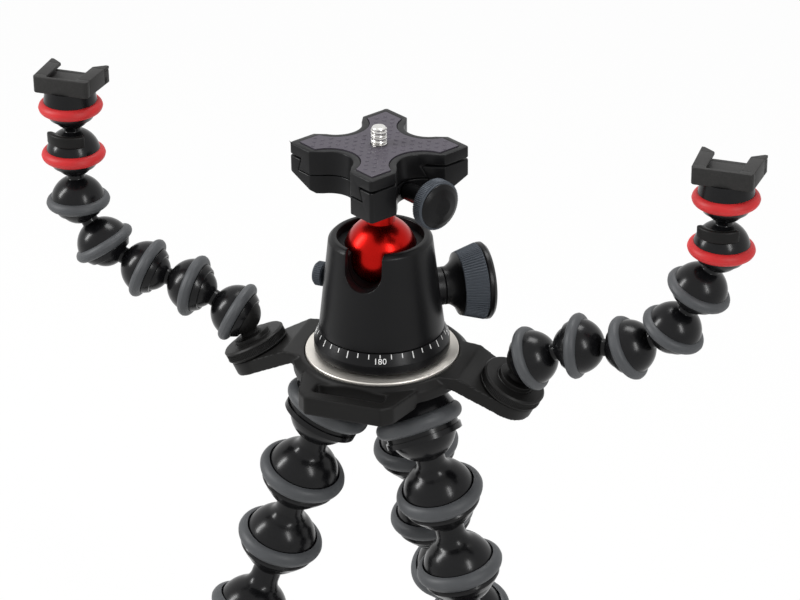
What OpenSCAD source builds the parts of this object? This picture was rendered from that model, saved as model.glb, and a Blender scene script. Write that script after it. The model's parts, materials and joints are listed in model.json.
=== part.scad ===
// Flexible-leg tripod: a ball head with a quick-release plate on a hub with three
// ball-and-socket legs, and a bracket with two ball-and-socket arms that end in cold shoes.
// The origin is the camera seat, the middle of the pad's top face. +Z is up, the arms lie
// along X, and the strap slot faces -Y.

/* [Quick-release plate] */
// Side of the square plate
plate_w = 50; // [46:1:58]
// Radius of the plate's four corners
plate_corner_r = 1.5; // [0.5:0.5:3]
// Depth of the round scoop in each side
scoop_depth = 9; // [6:0.5:10]
// Radius of the round scoop in each side
scoop_r = 10; // [8:0.5:12]
// Thickness of the plate's flange
flange_t = 4.5; // [3.5:0.5:6]
// Height of the dovetail under the flange
dove_h = 5.5; // [4:0.5:7]
// Half width of the dovetail at its narrow top
dove_half = 17.5; // [16:0.5:18.5]
// How far each dovetail flank leans out over its height
dove_flare = 2; // [1:0.25:2.5]
// Width of the bare rim round the pad
rim_w = 3; // [2:0.5:4]
// Thickness of the rubber pad
pad_t = 2; // [1.5:0.25:3]
// How far the pad stands over the rim
pad_proud = 0.6; // [0.3:0.1:1]
// Thread radius of the camera screw (1/4 inch)
screw_r = 3.175; // [3.175]
// Height of the camera screw over the pad
screw_up = 7; // [5:0.5:8]
// Turn of the plate and clamp about the head's axis
plate_turn = -30; // [-45:1:45]

/* [Clamp] */
// Gap between the plate's flange and the clamp
flange_gap = 0.8; // [0.5:0.1:1.2]
// Thickness of the clamp's floor under the dovetail
clamp_floor_t = 7.6; // [7:0.2:10]
// Distance from the head's axis to the inner face of the sliding jaw
jaw_in = 12; // [11:0.5:13]
// Travel of the sliding jaw
jaw_travel = 4; // [2:0.5:5]
// Radius of the clamp knob
clamp_knob_r = 10; // [8:0.5:11]
// Width of the ribbed grip of the clamp knob
clamp_grip_w = 6; // [4:0.5:8]
// Distance from the head's axis to the outer end of the clamp knob
clamp_knob_reach = 35; // [34:0.5:38]

/* [Ball head] */
// Height from the platform to the camera seat
head_h = 90; // [86:1:100]
// Height of the ball's centre over the platform
ball_h = 43.5; // [42:0.5:46]
// Radius of the head's ball
ball_r = 14.5; // [13:0.5:15]
// Radius of the ball's stem
stem_r = 6; // [5:0.25:6.5]
// Outer radius of the housing at its foot
housing_r = 25.3; // [24:0.1:26]
// Outer radius of the housing at its rim
rim_r = 20.8; // [20.4:0.1:22]
// Height of the housing's rim over the platform
rim_h = 50.4; // [50:0.2:53]
// Half width of the drop slot in the housing
slot_half = 7.6; // [7.2:0.1:8.2]
// Outer radius of the ball's liner
cup_r = 17.3; // [16.8:0.1:17.8]
// Height of the lock knob's axis over the platform
lock_h = 24; // [21:0.5:25]
// Direction of the lock knob about the head's axis
lock_az = 35; // [20:1:50]
// Radius of the lock knob
lock_knob_r = 16.5; // [14:0.5:18]
// Radius of the lock knob's shaft
lock_shaft_r = 5; // [4:0.25:5.5]
// Height of the pan knob's axis over the platform
pan_knob_h = 28; // [24:0.5:30]
// Direction of the pan knob about the head's axis
pan_knob_az = 176; // [165:1:190]
// Radius of the pan knob
pan_knob_r = 5; // [4:0.25:6]

/* [Pan base] */
// Height of the pan base
pan_h = 10; // [9:0.25:12]
// Outer radius of the graduated ring
scale_r = 27.4; // [26.5:0.1:29]
// Height of the graduated ring's upright wall
scale_wall = 3.9; // [3:0.1:5]
// Height of the shadow gap under the graduated ring
scale_lift = 1.6; // [1:0.1:2.5]
// Radius of the silver platform
platform_r = 31; // [30:0.25:32]
// Thickness of the silver platform
platform_t = 3; // [2.5:0.25:4]
// Thread radius of the head's bolt (3/8 inch)
bolt_r = 4.76; // [4.76]

/* [Arm bracket] */
// Outer radius of the bracket's ring
bracket_r = 36; // [35.5:0.25:38]
// Depth of the bracket's ring below the platform's top
bracket_h = 8; // [7:0.25:9]
// Distance from the head's axis to the front of the strap bar
strap_reach = 46; // [44:0.5:48]
// Length of the strap slot
strap_slot_l = 29; // [24:0.5:31]
// Width of the strap slot
strap_slot_w = 6.2; // [5:0.1:6.6]
// Droop of each wing
wing_tilt = 28; // [24:1:32]
// Distance from the head's axis to each thumb wheel
wing_reach = 54; // [52:0.5:57]
// Depth of the wing pads below the platform's top
wing_drop = 9.6; // [9:0.2:12]
// Thickness of the wings
wing_t = 6; // [5:0.25:7]
// Radius of the rounded end of each wing
wing_end_r = 12.5; // [11:0.5:13]
// Radius of the thumb wheels
wheel_r = 13.3; // [12.5:0.1:14]
// Thickness of the thumb wheels
wheel_t = 5; // [4:0.25:5.5]

/* [Arm links] */
// Distance between the ball centres of one arm link
arm_pitch = 21; // [20.5:0.25:23]
// Radius of an arm link's ball
arm_ball_r = 8.6; // [8:0.1:8.8]
// Radius of an arm link's neck
arm_neck_r = 3.5; // [3:0.25:3.75]
// Outer radius of an arm link's rubber ring
arm_ring_r = 13; // [12.5:0.1:13.4]
// Radius of the rubber ring's section on an arm link
arm_ring_t = 2.4; // [2:0.1:2.6]
// Lean of each left arm link from upright, from the bracket out
left_arm_leans = [64, 77, 68, 32, 2, 0, 0];
// Lean of each right arm link from upright, from the bracket out
right_arm_leans = [64, 84, 60, 27, 24, 3, 0];

/* [Cold shoes] */
// Outer width of a cold shoe
shoe_w = 24; // [23:0.5:27]
// Depth of a cold shoe, front to back
shoe_d = 20; // [18:0.5:22]
// Thickness of a cold shoe's base
shoe_t = 6; // [5.5:0.25:7]
// Width of the accessory foot's pocket
foot_slot_w = 18.8; // [18.6:0.1:19.2]
// Height of the accessory foot's pocket
foot_slot_h = 2.2; // [2.1:0.1:2.5]
// Width of the open gap between the rails
rail_gap = 12.6; // [12:0.1:13.5]
// Height of the rails at their back end
rail_rise = 4.7; // [4:0.1:6]

/* [Leg links] */
// Distance between the ball centres of one leg link
leg_pitch = 36; // [35:0.5:38]
// Radius of a leg link's ball
leg_ball_r = 14; // [13:0.1:14.2]
// Radius of a leg link's neck
leg_neck_r = 6; // [5:0.25:6.5]
// Outer radius of a leg link's rubber ring
leg_ring_r = 18; // [17.4:0.1:18.2]
// Radius of the rubber ring's section on a leg link
leg_ring_t = 3.5; // [3:0.1:3.8]
// Number of links in each leg, without its foot
leg_links = 7; // [7]
// Distance from the head's axis to the hub's socket centres
hub_reach = 24; // [23.5:0.25:26]
// Depth of the hub's socket centres below the platform's top
hub_drop = 27; // [26.5:0.25:30]
// Outward lean of the hub's sockets
hub_lean = 29; // [26:1:32]
// Height from the foot's ball to the hub's sockets
leg_drop = 235; // [225:1:240]
// Height of a foot's ball centre over the floor
foot_h = 32; // [30:0.5:36]
// Lean of the first link of the left, right and rear leg
leg_lean_1 = [20, 14, 10];
// Direction of the first link of the left, right and rear leg
leg_turn_1 = [172, 45, 45];
// Lean of the second link of the left, right and rear leg
leg_lean_2 = [18, 13, 12];
// Direction of the second link of the left, right and rear leg
leg_turn_2 = [176, 15, 45];
// Direction of the lower links of the left, right and rear leg
leg_turn_low = [215, 310, 75];

/* [Hidden] */
$fn = 64;
eps = 0.05;
slip = 0.25;
socket_wall = 0.75;
far = 80;

// Heights of the head, from the camera seat down
plate_z = -pad_proud;
flange_z = plate_z - flange_t;
dove_z = flange_z - dove_h;
channel_z = dove_z - slip;
clamp_top_z = flange_z - flange_gap;
clamp_z = channel_z - clamp_floor_t;
clamp_axis_z = (channel_z + clamp_z) / 2;
platform_z = -head_h;
screw_head_r = 7.5;
screw_head_t = 2.6;
clamp_screw_r = 3;
stem_stud_r = 4;
stem_stud_h = 4;

// Housing and pan base, over the platform
housing_z = pan_h + slip;
rim_chamfer = 1.4;
cup_foot = ball_h - ball_r + 2;
cup_top = ball_h + 3.5;
slot_h = ball_h - 1;
scale_neck_r = 22;

// Lock knob, along its shaft
lock_tip = 10;
lock_boss_x = housing_r;
lock_cone_x = lock_boss_x + 4;
lock_grip_x = lock_cone_x + 6;
lock_grip_w = 10;
lock_grip_t = 2.5;
pan_knob_x = housing_r - 1.6;
pan_knob_w = 5;
pan_shaft_r = 2;

// Bracket
bracket_gap = 0.3;
bracket_in = platform_r + bracket_gap;
hub_r = platform_r - 1;
bracket_lip = 0.6;
strap_z = -2;
strap_h = 8;
strap_half = 20;
strap_wall = 2.5;
wing_root_half = 17;
wheel_gap = 0.2;
wheel_stud_r = 3;
wheel_collar_r = 7.5;
wheel_collar_t = 2;

// Arm links
arm_cavity_r = arm_ball_r + slip;
arm_collar_r = arm_cavity_r + socket_wall;
arm_ring_up = 1.2;
arm_lip = 4;
arm_dome_r = arm_collar_r + 1.6;
arm_dome_up = 1;
arm_stud_h = wheel_gap + wheel_t + wheel_collar_t + arm_ball_r + 0.7;
arm_count = 7;
clip_w = 14;
clip_r = 12.2;
clip_low = 5.5;
clip_high = 11;
shoe_z = 9;
shoe_wall = 1.6;

// Leg links
leg_cavity_r = leg_ball_r + slip;
leg_collar_r = leg_cavity_r + socket_wall;
leg_ring_up = 3;
leg_lip = 4.5;
leg_lip_t = 2.2;
leg_shoulder = leg_ring_up + leg_ring_t;
leg_bell_r = leg_collar_r + 1;
leg_neck_l = 5;
leg_bell_top = leg_pitch - sqrt(pow(leg_ball_r, 2) - pow(leg_neck_r, 2)) - leg_neck_l;
leg_turns = [210, 330, 90];

sides = ["left", "right"];
legs = ["left", "right", "rear"];

// Unit direction that leans from upright towards a bearing about Z
function heading(lean, turn) = [sin(lean) * cos(turn), sin(lean) * sin(turn), cos(lean)];

// Arm chain: joint k is the centre of the ball that link k sits on
function side_turn(side) = side == 0 ? 180 : 0;
function arm_lean(side, k) = side == 0 ? left_arm_leans[k] : right_arm_leans[k];
function arm_root(side) = [0, 0, platform_z - wing_drop]
    + wing_reach * heading(90, side_turn(side))
    + arm_stud_h * heading(wing_tilt, side_turn(side));
function arm_joint(side, k) = k == 0
    ? arm_root(side)
    : arm_joint(side, k - 1) + arm_pitch * heading(arm_lean(side, k - 1), side_turn(side));

// Leg chain: joint k is the centre of the ball at the top of link k, and the lower links
// take the lean that brings every foot to the same floor
function low_lean(leg) = acos(
    (leg_drop - leg_pitch * (cos(leg_lean_1[leg]) + cos(leg_lean_2[leg])))
    / (leg_pitch * (leg_links - 2)));
function leg_lean(leg, k) = k == 0 ? leg_lean_1[leg]
    : k == 1 ? leg_lean_2[leg]
    : k < leg_links ? low_lean(leg) : 0;
function leg_turn(leg, k) = k == 0 ? leg_turn_1[leg]
    : k == 1 ? leg_turn_2[leg] : leg_turn_low[leg];
function leg_joint(leg, k) = k == 0
    ? hub_reach * heading(90, leg_turns[leg]) + [0, 0, platform_z - hub_drop]
    : leg_joint(leg, k - 1)
        - leg_pitch * heading(leg_lean(leg, k - 1), leg_turn(leg, k - 1) + 180);

// The clamp's and plate's own frame: +X is the side of the clamp knob
module plate_frame() {
    rotate([0, 0, plate_turn]) children();
}

module head_frame() {
    translate([0, 0, platform_z]) children();
}

// Square plate outline with a scoop in each side, drawn in from the edge by an inset
module plate_outline(inset = 0) {
    half = plate_w / 2 - inset;
    round_r = max(plate_corner_r - inset, 0.3);
    flare = 4;
    difference() {
        union() {
            square([2 * half, 2 * (half - round_r)], center = true);
            square([2 * (half - round_r), 2 * half], center = true);
            for (x = [-1, 1], y = [-1, 1])
                translate([x * (half - round_r), y * (half - round_r)]) circle(r = round_r);
        }
        for (turn = [0 : 90 : 270]) rotate(turn) {
            translate([plate_w / 2 - scoop_depth + scoop_r, 0]) circle(r = scoop_r + inset);
            translate([plate_w / 2 - flare, 0])
                polygon([[0, -scoop_r + 1.5 - inset], [0, scoop_r - 1.5 + inset],
                         [flare + 1, scoop_r + 3.5 + inset],
                         [flare + 1, -scoop_r - 3.5 - inset]]);
        }
    }
}

// A section in XZ, run along Y through the whole plate and kept inside the plate's outline
module along_plate(low, high) {
    intersection() {
        rotate([90, 0, 0]) linear_extrude(plate_w + 10, center = true) children();
        translate([0, 0, low]) linear_extrude(high - low) plate_outline();
    }
}

module camera_screw() {
    tip = 0.7;
    color("silver") rotate_extrude()
        polygon([[0, dove_z + slip], [screw_head_r, dove_z + slip], [screw_head_r, dove_z + slip + screw_head_t],
                 [screw_r - 0.6, dove_z + slip + screw_head_t], [screw_r - 0.6, 0], [screw_r, 0],
                 [screw_r, screw_up - tip], [screw_r - tip, screw_up], [0, screw_up]]);
}

module quick_release_plate() {
    half = plate_w / 2 + 1;
    color([0.13, 0.13, 0.14]) plate_frame() difference() {
        along_plate(dove_z, plate_z)
            polygon([[-half, plate_z], [half, plate_z], [half, flange_z], [dove_half, flange_z],
                     [dove_half + dove_flare, dove_z], [-dove_half - dove_flare, dove_z],
                     [-dove_half, flange_z], [-half, flange_z]]);
        translate([0, 0, -pad_t]) linear_extrude(pad_t + 1) plate_outline(rim_w);
        translate([0, 0, dove_z - 1]) cylinder(r = screw_r + slip, h = far);
        translate([0, 0, dove_z - 1]) cylinder(r = screw_head_r + slip, h = screw_head_t + 2 * slip + 1);
    }
}

module plate_pad() {
    color([0.2, 0.19, 0.22]) plate_frame() difference() {
        translate([0, 0, -pad_t]) linear_extrude(pad_t) plate_outline(rim_w + eps);
        translate([0, 0, -pad_t - 1]) cylinder(r = screw_r + slip, h = pad_t + 2);
    }
}

// Undersides of the two tips that lie along the plate's long diagonal rise outwards
module tip_chamfers() {
    tip = plate_w / sqrt(2);
    for (turn = [45, 225]) rotate([0, 0, turn]) rotate([90, 0, 0]) linear_extrude(far, center = true)
        polygon([[tip - 13, clamp_z - 1], [tip + 7, clamp_z - 1], [tip + 7, clamp_z + 10]]);
}

module clamp_body() {
    half = plate_w / 2 + 1;
    color([0.12, 0.12, 0.13]) plate_frame() difference() {
        along_plate(clamp_z, clamp_top_z)
            polygon([[-half, clamp_top_z],
                     [-dove_half - slip - dove_flare * flange_gap / dove_h, clamp_top_z],
                     [-dove_half - dove_flare - slip, channel_z], [jaw_in - 0.5, channel_z],
                     [jaw_in - 0.5, clamp_z], [-half, clamp_z]]);
        tip_chamfers();
        translate([0, 0, clamp_z - 1]) cylinder(r = stem_stud_r + eps, h = stem_stud_h + 1);
        translate([stem_stud_r + 1, 0, clamp_axis_z]) rotate([0, 90, 0])
            cylinder(r = clamp_screw_r + slip, h = far);
    }
}

module clamp_jaw() {
    half = plate_w / 2 + 1;
    color([0.12, 0.12, 0.13]) plate_frame() difference() {
        along_plate(clamp_z, clamp_top_z)
            polygon([[dove_half + slip + dove_flare * flange_gap / dove_h, clamp_top_z],
                     [half, clamp_top_z], [half, clamp_z], [jaw_in, clamp_z],
                     [jaw_in, channel_z - slip], [dove_half + dove_flare + slip, channel_z - slip]]);
        tip_chamfers();
        translate([0, 0, clamp_axis_z]) rotate([0, 90, 0]) cylinder(r = clamp_screw_r + slip, h = far);
    }
}

// Frame of the clamp knob: +Z runs out along its screw
module clamp_knob_frame() {
    plate_frame() translate([0, 0, clamp_axis_z]) rotate([0, 90, 0]) children();
}

clamp_hub_r = clamp_floor_t / 2;
clamp_seat_x = plate_w / 2 - scoop_depth + scoop_r - sqrt(pow(scoop_r, 2) - pow(clamp_hub_r, 2)) + slip;
clamp_cap_t = 2;
clamp_grip_x = clamp_knob_reach - clamp_cap_t - clamp_grip_w;
clamp_core_r = clamp_knob_r - 1.6;

module clamp_knob() {
    cap_r = (pow(clamp_core_r, 2) + pow(clamp_cap_t, 2)) / (2 * clamp_cap_t);
    color([0.16, 0.16, 0.17]) clamp_knob_frame() {
        translate([0, 0, stem_stud_r + 2]) cylinder(r = clamp_screw_r, h = clamp_seat_x - stem_stud_r);
        translate([0, 0, clamp_seat_x]) cylinder(r = clamp_hub_r, h = clamp_grip_x - clamp_seat_x + 1);
        translate([0, 0, clamp_grip_x]) cylinder(r = clamp_core_r, h = clamp_grip_w);
        intersection() {
            translate([0, 0, clamp_knob_reach - cap_r]) sphere(r = cap_r);
            translate([0, 0, clamp_grip_x + clamp_grip_w - eps]) cylinder(r = clamp_core_r, h = clamp_cap_t + 1);
        }
    }
}

module clamp_knob_grip() {
    color([0.36, 0.37, 0.4]) clamp_knob_frame() rotate_extrude()
        polygon([[clamp_core_r + eps, clamp_grip_x], [clamp_knob_r - 0.6, clamp_grip_x],
                 [clamp_knob_r, clamp_grip_x + 0.6], [clamp_knob_r, clamp_grip_x + clamp_grip_w - 0.6],
                 [clamp_knob_r - 0.6, clamp_grip_x + clamp_grip_w],
                 [clamp_core_r + eps, clamp_grip_x + clamp_grip_w]]);
}

module ball_stem() {
    stem_top = head_h + clamp_z;
    color([0.72, 0.1, 0.08]) head_frame() rotate_extrude() {
        intersection() {
            translate([0, ball_h]) circle(r = ball_r);
            translate([0, ball_h - ball_r]) square(2 * ball_r);
        }
        translate([0, ball_h]) square([stem_r, stem_top - ball_h]);
        translate([0, stem_top - 1]) square([stem_stud_r, stem_stud_h]);
    }
}

// Slot that lets the stem drop to level, open at the rim
module drop_slot() {
    translate([0, 0, slot_h]) rotate([90, 0, 0]) cylinder(r = slot_half, h = far);
    translate([-slot_half, -far, slot_h]) cube([2 * slot_half, far, far]);
}

module ball_cup() {
    color([0.08, 0.08, 0.09]) head_frame() difference() {
        translate([0, 0, cup_foot]) cylinder(r = cup_r, h = cup_top - cup_foot);
        translate([0, 0, ball_h]) sphere(r = ball_r + slip);
        drop_slot();
    }
}

// Frame of a knob on the housing: +Z runs out along its shaft
module knob_frame(turn, height) {
    translate([0, 0, platform_z + height]) rotate([0, 90, turn]) children();
}

module head_housing() {
    color([0.12, 0.12, 0.13]) difference() {
        head_frame() difference() {
            rotate_extrude()
                polygon([[0, housing_z], [housing_r, housing_z], [rim_r, rim_h - rim_chamfer],
                         [rim_r - rim_chamfer, rim_h], [0, rim_h]]);
            translate([0, 0, cup_foot]) cylinder(r = cup_r + eps, h = far);
            translate([0, 0, ball_h]) sphere(r = ball_r + slip);
            drop_slot();
            translate([0, 0, housing_z - 1]) cylinder(r = bolt_r + slip, h = 7);
        }
        knob_frame(lock_az, lock_h) translate([0, 0, lock_tip - 1]) cylinder(r = lock_shaft_r + slip, h = far);
        knob_frame(pan_knob_az, pan_knob_h)
            translate([0, 0, pan_knob_x - 6]) cylinder(r = pan_shaft_r + slip, h = far);
    }
}

module lock_shaft() {
    color([0.5, 0.5, 0.52]) knob_frame(lock_az, lock_h)
        translate([0, 0, lock_tip]) cylinder(r = lock_shaft_r, h = lock_grip_x - lock_tip);
}

module lock_knob() {
    core_r = lock_knob_r - lock_grip_t;
    color([0.1, 0.1, 0.11]) knob_frame(lock_az, lock_h) rotate_extrude()
        polygon([[lock_shaft_r + eps, lock_boss_x], [lock_shaft_r + 2.2, lock_boss_x],
                 [lock_shaft_r + 2.2, lock_cone_x], [lock_knob_r - 1.5, lock_grip_x],
                 [core_r, lock_grip_x], [core_r, lock_grip_x + lock_grip_w],
                 [core_r - 1.5, lock_grip_x + lock_grip_w + 1.2], [0, lock_grip_x + lock_grip_w + 1.2],
                 [0, lock_grip_x + eps], [lock_shaft_r + eps, lock_grip_x + eps]]);
}

module lock_knob_grip() {
    core_r = lock_knob_r - lock_grip_t + eps;
    color([0.33, 0.35, 0.38]) knob_frame(lock_az, lock_h) rotate_extrude()
        polygon([[core_r, lock_grip_x + eps], [lock_knob_r - 0.8, lock_grip_x + eps], [lock_knob_r, lock_grip_x + 1],
                 [lock_knob_r - 0.6, lock_grip_x + lock_grip_w - 0.8],
                 [lock_knob_r - 1.4, lock_grip_x + lock_grip_w], [core_r, lock_grip_x + lock_grip_w]]);
}

module pan_knob() {
    color([0.3, 0.31, 0.33]) knob_frame(pan_knob_az, pan_knob_h) {
        translate([0, 0, pan_knob_x - 5]) cylinder(r = pan_shaft_r, h = 6);
        rotate_extrude()
            polygon([[0, pan_knob_x + 0.8], [pan_knob_r, pan_knob_x + 0.8],
                     [pan_knob_r, pan_knob_x + pan_knob_w - 0.6],
                     [pan_knob_r - 0.6, pan_knob_x + pan_knob_w], [0, pan_knob_x + pan_knob_w]]);
    }
}

module pan_base() {
    color([0.12, 0.12, 0.13]) head_frame() rotate_extrude()
        polygon([[bolt_r + eps, 0], [scale_neck_r, 0], [scale_neck_r, scale_lift], [scale_r, scale_lift],
                 [scale_r, scale_lift + scale_wall], [housing_r, pan_h], [bolt_r + eps, pan_h]]);
}

module head_bolt() {
    color("silver") head_frame() {
        translate([0, 0, -platform_t - 3]) cylinder(r = bolt_r, h = platform_t + 3 + pan_h + 5);
        translate([0, 0, -platform_t - 6]) cylinder(r = bolt_r + 3, h = 3);
    }
}

module platform() {
    color([0.78, 0.76, 0.72]) head_frame() difference() {
        translate([0, 0, -platform_t]) cylinder(r = platform_r, h = platform_t);
        translate([0, 0, -platform_t - 1]) cylinder(r = bolt_r + eps, h = platform_t + 2);
    }
}

// Frame of a wing pad: the origin is the pad's middle and +Z its outward-leaning normal
module wing_frame(side) {
    translate([0, 0, platform_z - wing_drop]) rotate([0, 0, side_turn(side)])
        translate([wing_reach, 0, 0]) rotate([0, wing_tilt, 0]) children();
}

module wing(side) {
    root = (wing_reach - hub_r) / cos(wing_tilt);
    wing_frame(side) translate([0, 0, -wing_t]) linear_extrude(wing_t) {
        circle(r = wing_end_r);
        polygon([[-root, -wing_root_half], [0, -wing_end_r], [0, wing_end_r], [-root, wing_root_half]]);
    }
}

module strap_bar() {
    side_in = strap_half + 4;
    head_frame() translate([0, 0, strap_z - strap_h]) linear_extrude(strap_h)
        polygon([[-side_in, -hub_r + 4], [-side_in, -bracket_r + 8], [-strap_half, -strap_reach + 4],
                 [-strap_half + 4, -strap_reach], [strap_half - 4, -strap_reach],
                 [strap_half, -strap_reach + 4], [side_in, -bracket_r + 8], [side_in, -hub_r + 4]]);
}

module rig_bracket() {
    slot_in = bracket_in + strap_wall;
    color([0.14, 0.14, 0.15]) difference() {
        union() {
            head_frame() rotate_extrude()
                polygon([[hub_r - 1, -bracket_h], [bracket_r, -bracket_h], [bracket_r, -3.4],
                         [bracket_r - 2.8, -bracket_lip], [hub_r - 1, -bracket_lip]]);
            for (side = [0, 1]) wing(side);
            strap_bar();
        }
        head_frame() {
            translate([0, 0, -bracket_lip]) cylinder(r = far, h = far);
            translate([0, 0, -platform_t - eps]) cylinder(r = bracket_in, h = far);
            translate([0, 0, -far]) cylinder(r = hub_r + slip, h = 2 * far);
            translate([-strap_slot_l / 2, -slot_in - strap_slot_w, -far]) cube([strap_slot_l, strap_slot_w, 2 * far]);
        }
        for (side = [0, 1]) wing_frame(side)
            translate([0, 0, -far / 2]) cylinder(r = wheel_stud_r + slip, h = far);
    }
}

// Frame of a hub socket: the origin is the ball centre and the socket opens towards -Z
module hub_socket_frame(leg) {
    translate(leg_joint(leg, 0)) rotate([0, -hub_lean, leg_turns[leg]]) children();
}

module leg_hub() {
    hub_foot = -bracket_h - 5;
    color([0.05, 0.05, 0.06]) difference() {
        union() {
            head_frame() translate([0, 0, hub_foot]) cylinder(r = hub_r, h = -platform_t - hub_foot);
            for (leg = [0, 1, 2]) hub_socket_frame(leg) rotate_extrude() {
                leg_collar_shape();
                polygon([[0, leg_shoulder], [leg_bell_r, leg_shoulder], [leg_bell_r - 5, leg_bell_top],
                         [0, leg_bell_top]]);
            }
        }
        for (leg = [0, 1, 2]) hub_socket_frame(leg) sphere(r = leg_cavity_r);
        head_frame() translate([0, 0, -platform_t - 7]) cylinder(r = bolt_r + 3 + slip, h = 10);
        head_frame() translate([0, 0, -platform_t]) cylinder(r = far, h = far);
    }
}

module hub_rings() {
    color([0.3, 0.31, 0.33]) for (leg = [0, 1, 2]) hub_socket_frame(leg) leg_ring();
}

// Collar of a leg socket with its ring groove, recess and lip
module leg_collar_shape() {
    translate([0, -leg_lip]) square([leg_collar_r, leg_lip + leg_shoulder + eps]);
    translate([0, -leg_lip]) square([leg_collar_r + 0.8, leg_lip_t]);
}

module leg_ring() {
    rotate_extrude() intersection() {
        translate([leg_ring_r - leg_ring_t, leg_ring_up]) circle(r = leg_ring_t);
        translate([leg_collar_r + eps, leg_ring_up - leg_ring_t]) square(2 * leg_ring_t);
    }
}

// A leg link with its ball at the origin and its socket a pitch below
module leg_link(leg, k) {
    translate(leg_joint(leg, k)) rotate([0, -leg_lean(leg, k), leg_turn(leg, k)])
        translate([0, 0, -leg_pitch]) {
            color([0.04, 0.04, 0.05]) rotate_extrude() difference() {
                union() {
                    leg_collar_shape();
                    polygon([[0, leg_shoulder], [leg_bell_r, leg_shoulder], [leg_neck_r, leg_bell_top],
                             [0, leg_bell_top]]);
                    translate([0, leg_bell_top - eps]) square([leg_neck_r, leg_pitch - leg_bell_top]);
                    intersection() {
                        translate([0, leg_pitch]) circle(r = leg_ball_r);
                        translate([0, leg_pitch - leg_ball_r]) square(2 * leg_ball_r);
                    }
                }
                circle(r = leg_cavity_r);
            }
            color([0.3, 0.31, 0.33]) leg_ring();
        }
}

// A rubber foot that hangs upright from the last link's socket
module leg_foot(leg) {
    foot_r = leg_ball_r;
    color([0.15, 0.15, 0.16]) translate(leg_joint(leg, leg_links)) {
        sphere(r = leg_ball_r);
        rotate_extrude()
            polygon([[0, 0], [leg_neck_r, 0], [leg_neck_r, -leg_ball_r - 2], [leg_neck_r + 3, -leg_ball_r - 3],
                     [foot_r, -foot_h + 8], [foot_r, -foot_h + 4], [foot_r - 4, -foot_h], [0, -foot_h]]);
    }
}

// Thumb wheel of an arm, with the stud below it and the arm's first ball on top
module arm_wheel(side) {
    top = wheel_gap + wheel_t;
    color([0.1, 0.1, 0.11]) wing_frame(side) rotate_extrude() {
        translate([0, -wing_t - 2]) square([wheel_stud_r, wing_t + 3]);
        polygon([[0, wheel_gap], [wheel_r - 0.8, wheel_gap], [wheel_r, wheel_gap + 0.8], [wheel_r, top - 0.8],
                 [wheel_r - 0.8, top], [0, top]]);
        translate([0, top - eps]) square([wheel_collar_r, wheel_collar_t]);
        square([arm_neck_r, arm_stud_h]);
        intersection() {
            translate([0, arm_stud_h]) circle(r = arm_ball_r);
            translate([0, arm_stud_h - arm_ball_r]) square(2 * arm_ball_r);
        }
    }
}

module arm_frame(side, k) {
    translate(arm_joint(side, k)) rotate([0, arm_lean(side, k), side_turn(side)]) children();
}

module arm_ring(shade) {
    color(shade) rotate_extrude() intersection() {
        translate([arm_ring_r - arm_ring_t, arm_ring_up]) circle(r = arm_ring_t);
        translate([arm_collar_r + eps, arm_ring_up - arm_ring_t]) square(2 * arm_ring_t);
    }
}

// Collar of an arm socket: the ring's seat and the lip that holds the ball
module arm_collar_shape() {
    seat = arm_ring_up - arm_ring_t;
    translate([0, seat]) square([arm_collar_r, 2 * arm_ring_t + eps]);
    polygon([[0, -arm_lip], [arm_collar_r - 0.9, -arm_lip], [arm_collar_r + 0.8, seat], [0, seat + eps]]);
}

// Moulded part of an arm link: the socket sits at the origin and the ball a pitch above
module arm_moulding() {
    shoulder = arm_ring_up + arm_ring_t;
    color([0.04, 0.04, 0.05]) rotate_extrude() difference() {
        union() {
            arm_collar_shape();
            intersection() {
                translate([0, arm_dome_up]) circle(r = arm_dome_r);
                translate([0, shoulder]) square(2 * arm_dome_r);
            }
            translate([0, shoulder]) square([arm_neck_r, arm_pitch - shoulder]);
            intersection() {
                translate([0, arm_pitch]) circle(r = arm_ball_r);
                translate([0, arm_pitch - arm_ball_r]) square(2 * arm_ball_r);
            }
        }
        circle(r = arm_cavity_r);
    }
}

module arm_link(side, k) {
    arm_frame(side, k) {
        arm_moulding();
        arm_ring([0.3, 0.31, 0.33]);
    }
}

// Plain clip that wraps the front of the end link's dome
module end_clip(side) {
    front = side == 0 ? 180 : 0;
    color([0.07, 0.07, 0.08]) rotate([0, 0, front]) difference() {
        intersection() {
            translate([0, 0, clip_low]) cylinder(r = clip_r, h = clip_high - clip_low);
            translate([-clip_w / 2, -far, 0]) cube([clip_w, far, far]);
        }
        translate([0, 0, arm_dome_up]) sphere(r = arm_dome_r + eps);
        cylinder(r = arm_neck_r + eps, h = arm_pitch);
        translate([0, 0, arm_pitch]) sphere(r = arm_ring_r + 0.6);
    }
}

module arm_end_link(side) {
    arm_frame(side, arm_count - 2) {
        arm_moulding();
        arm_ring([0.86, 0.2, 0.2]);
        end_clip(side);
    }
}

// One rail of a cold shoe, rising to the back with a rounded end
module shoe_rail() {
    width = (shoe_w - rail_gap) / 2;
    tip = 1.6;
    rotate([90, 0, 90]) linear_extrude(width) {
        polygon([[-shoe_d / 2, -eps], [-shoe_d / 2 + 1, 0.6], [shoe_d / 2 - 2 * tip, rail_rise],
                 [shoe_d / 2 - tip, rail_rise], [shoe_d / 2, rail_rise - tip], [shoe_d / 2, -eps]]);
        translate([shoe_d / 2 - tip, rail_rise - tip]) circle(r = tip);
    }
}

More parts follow.
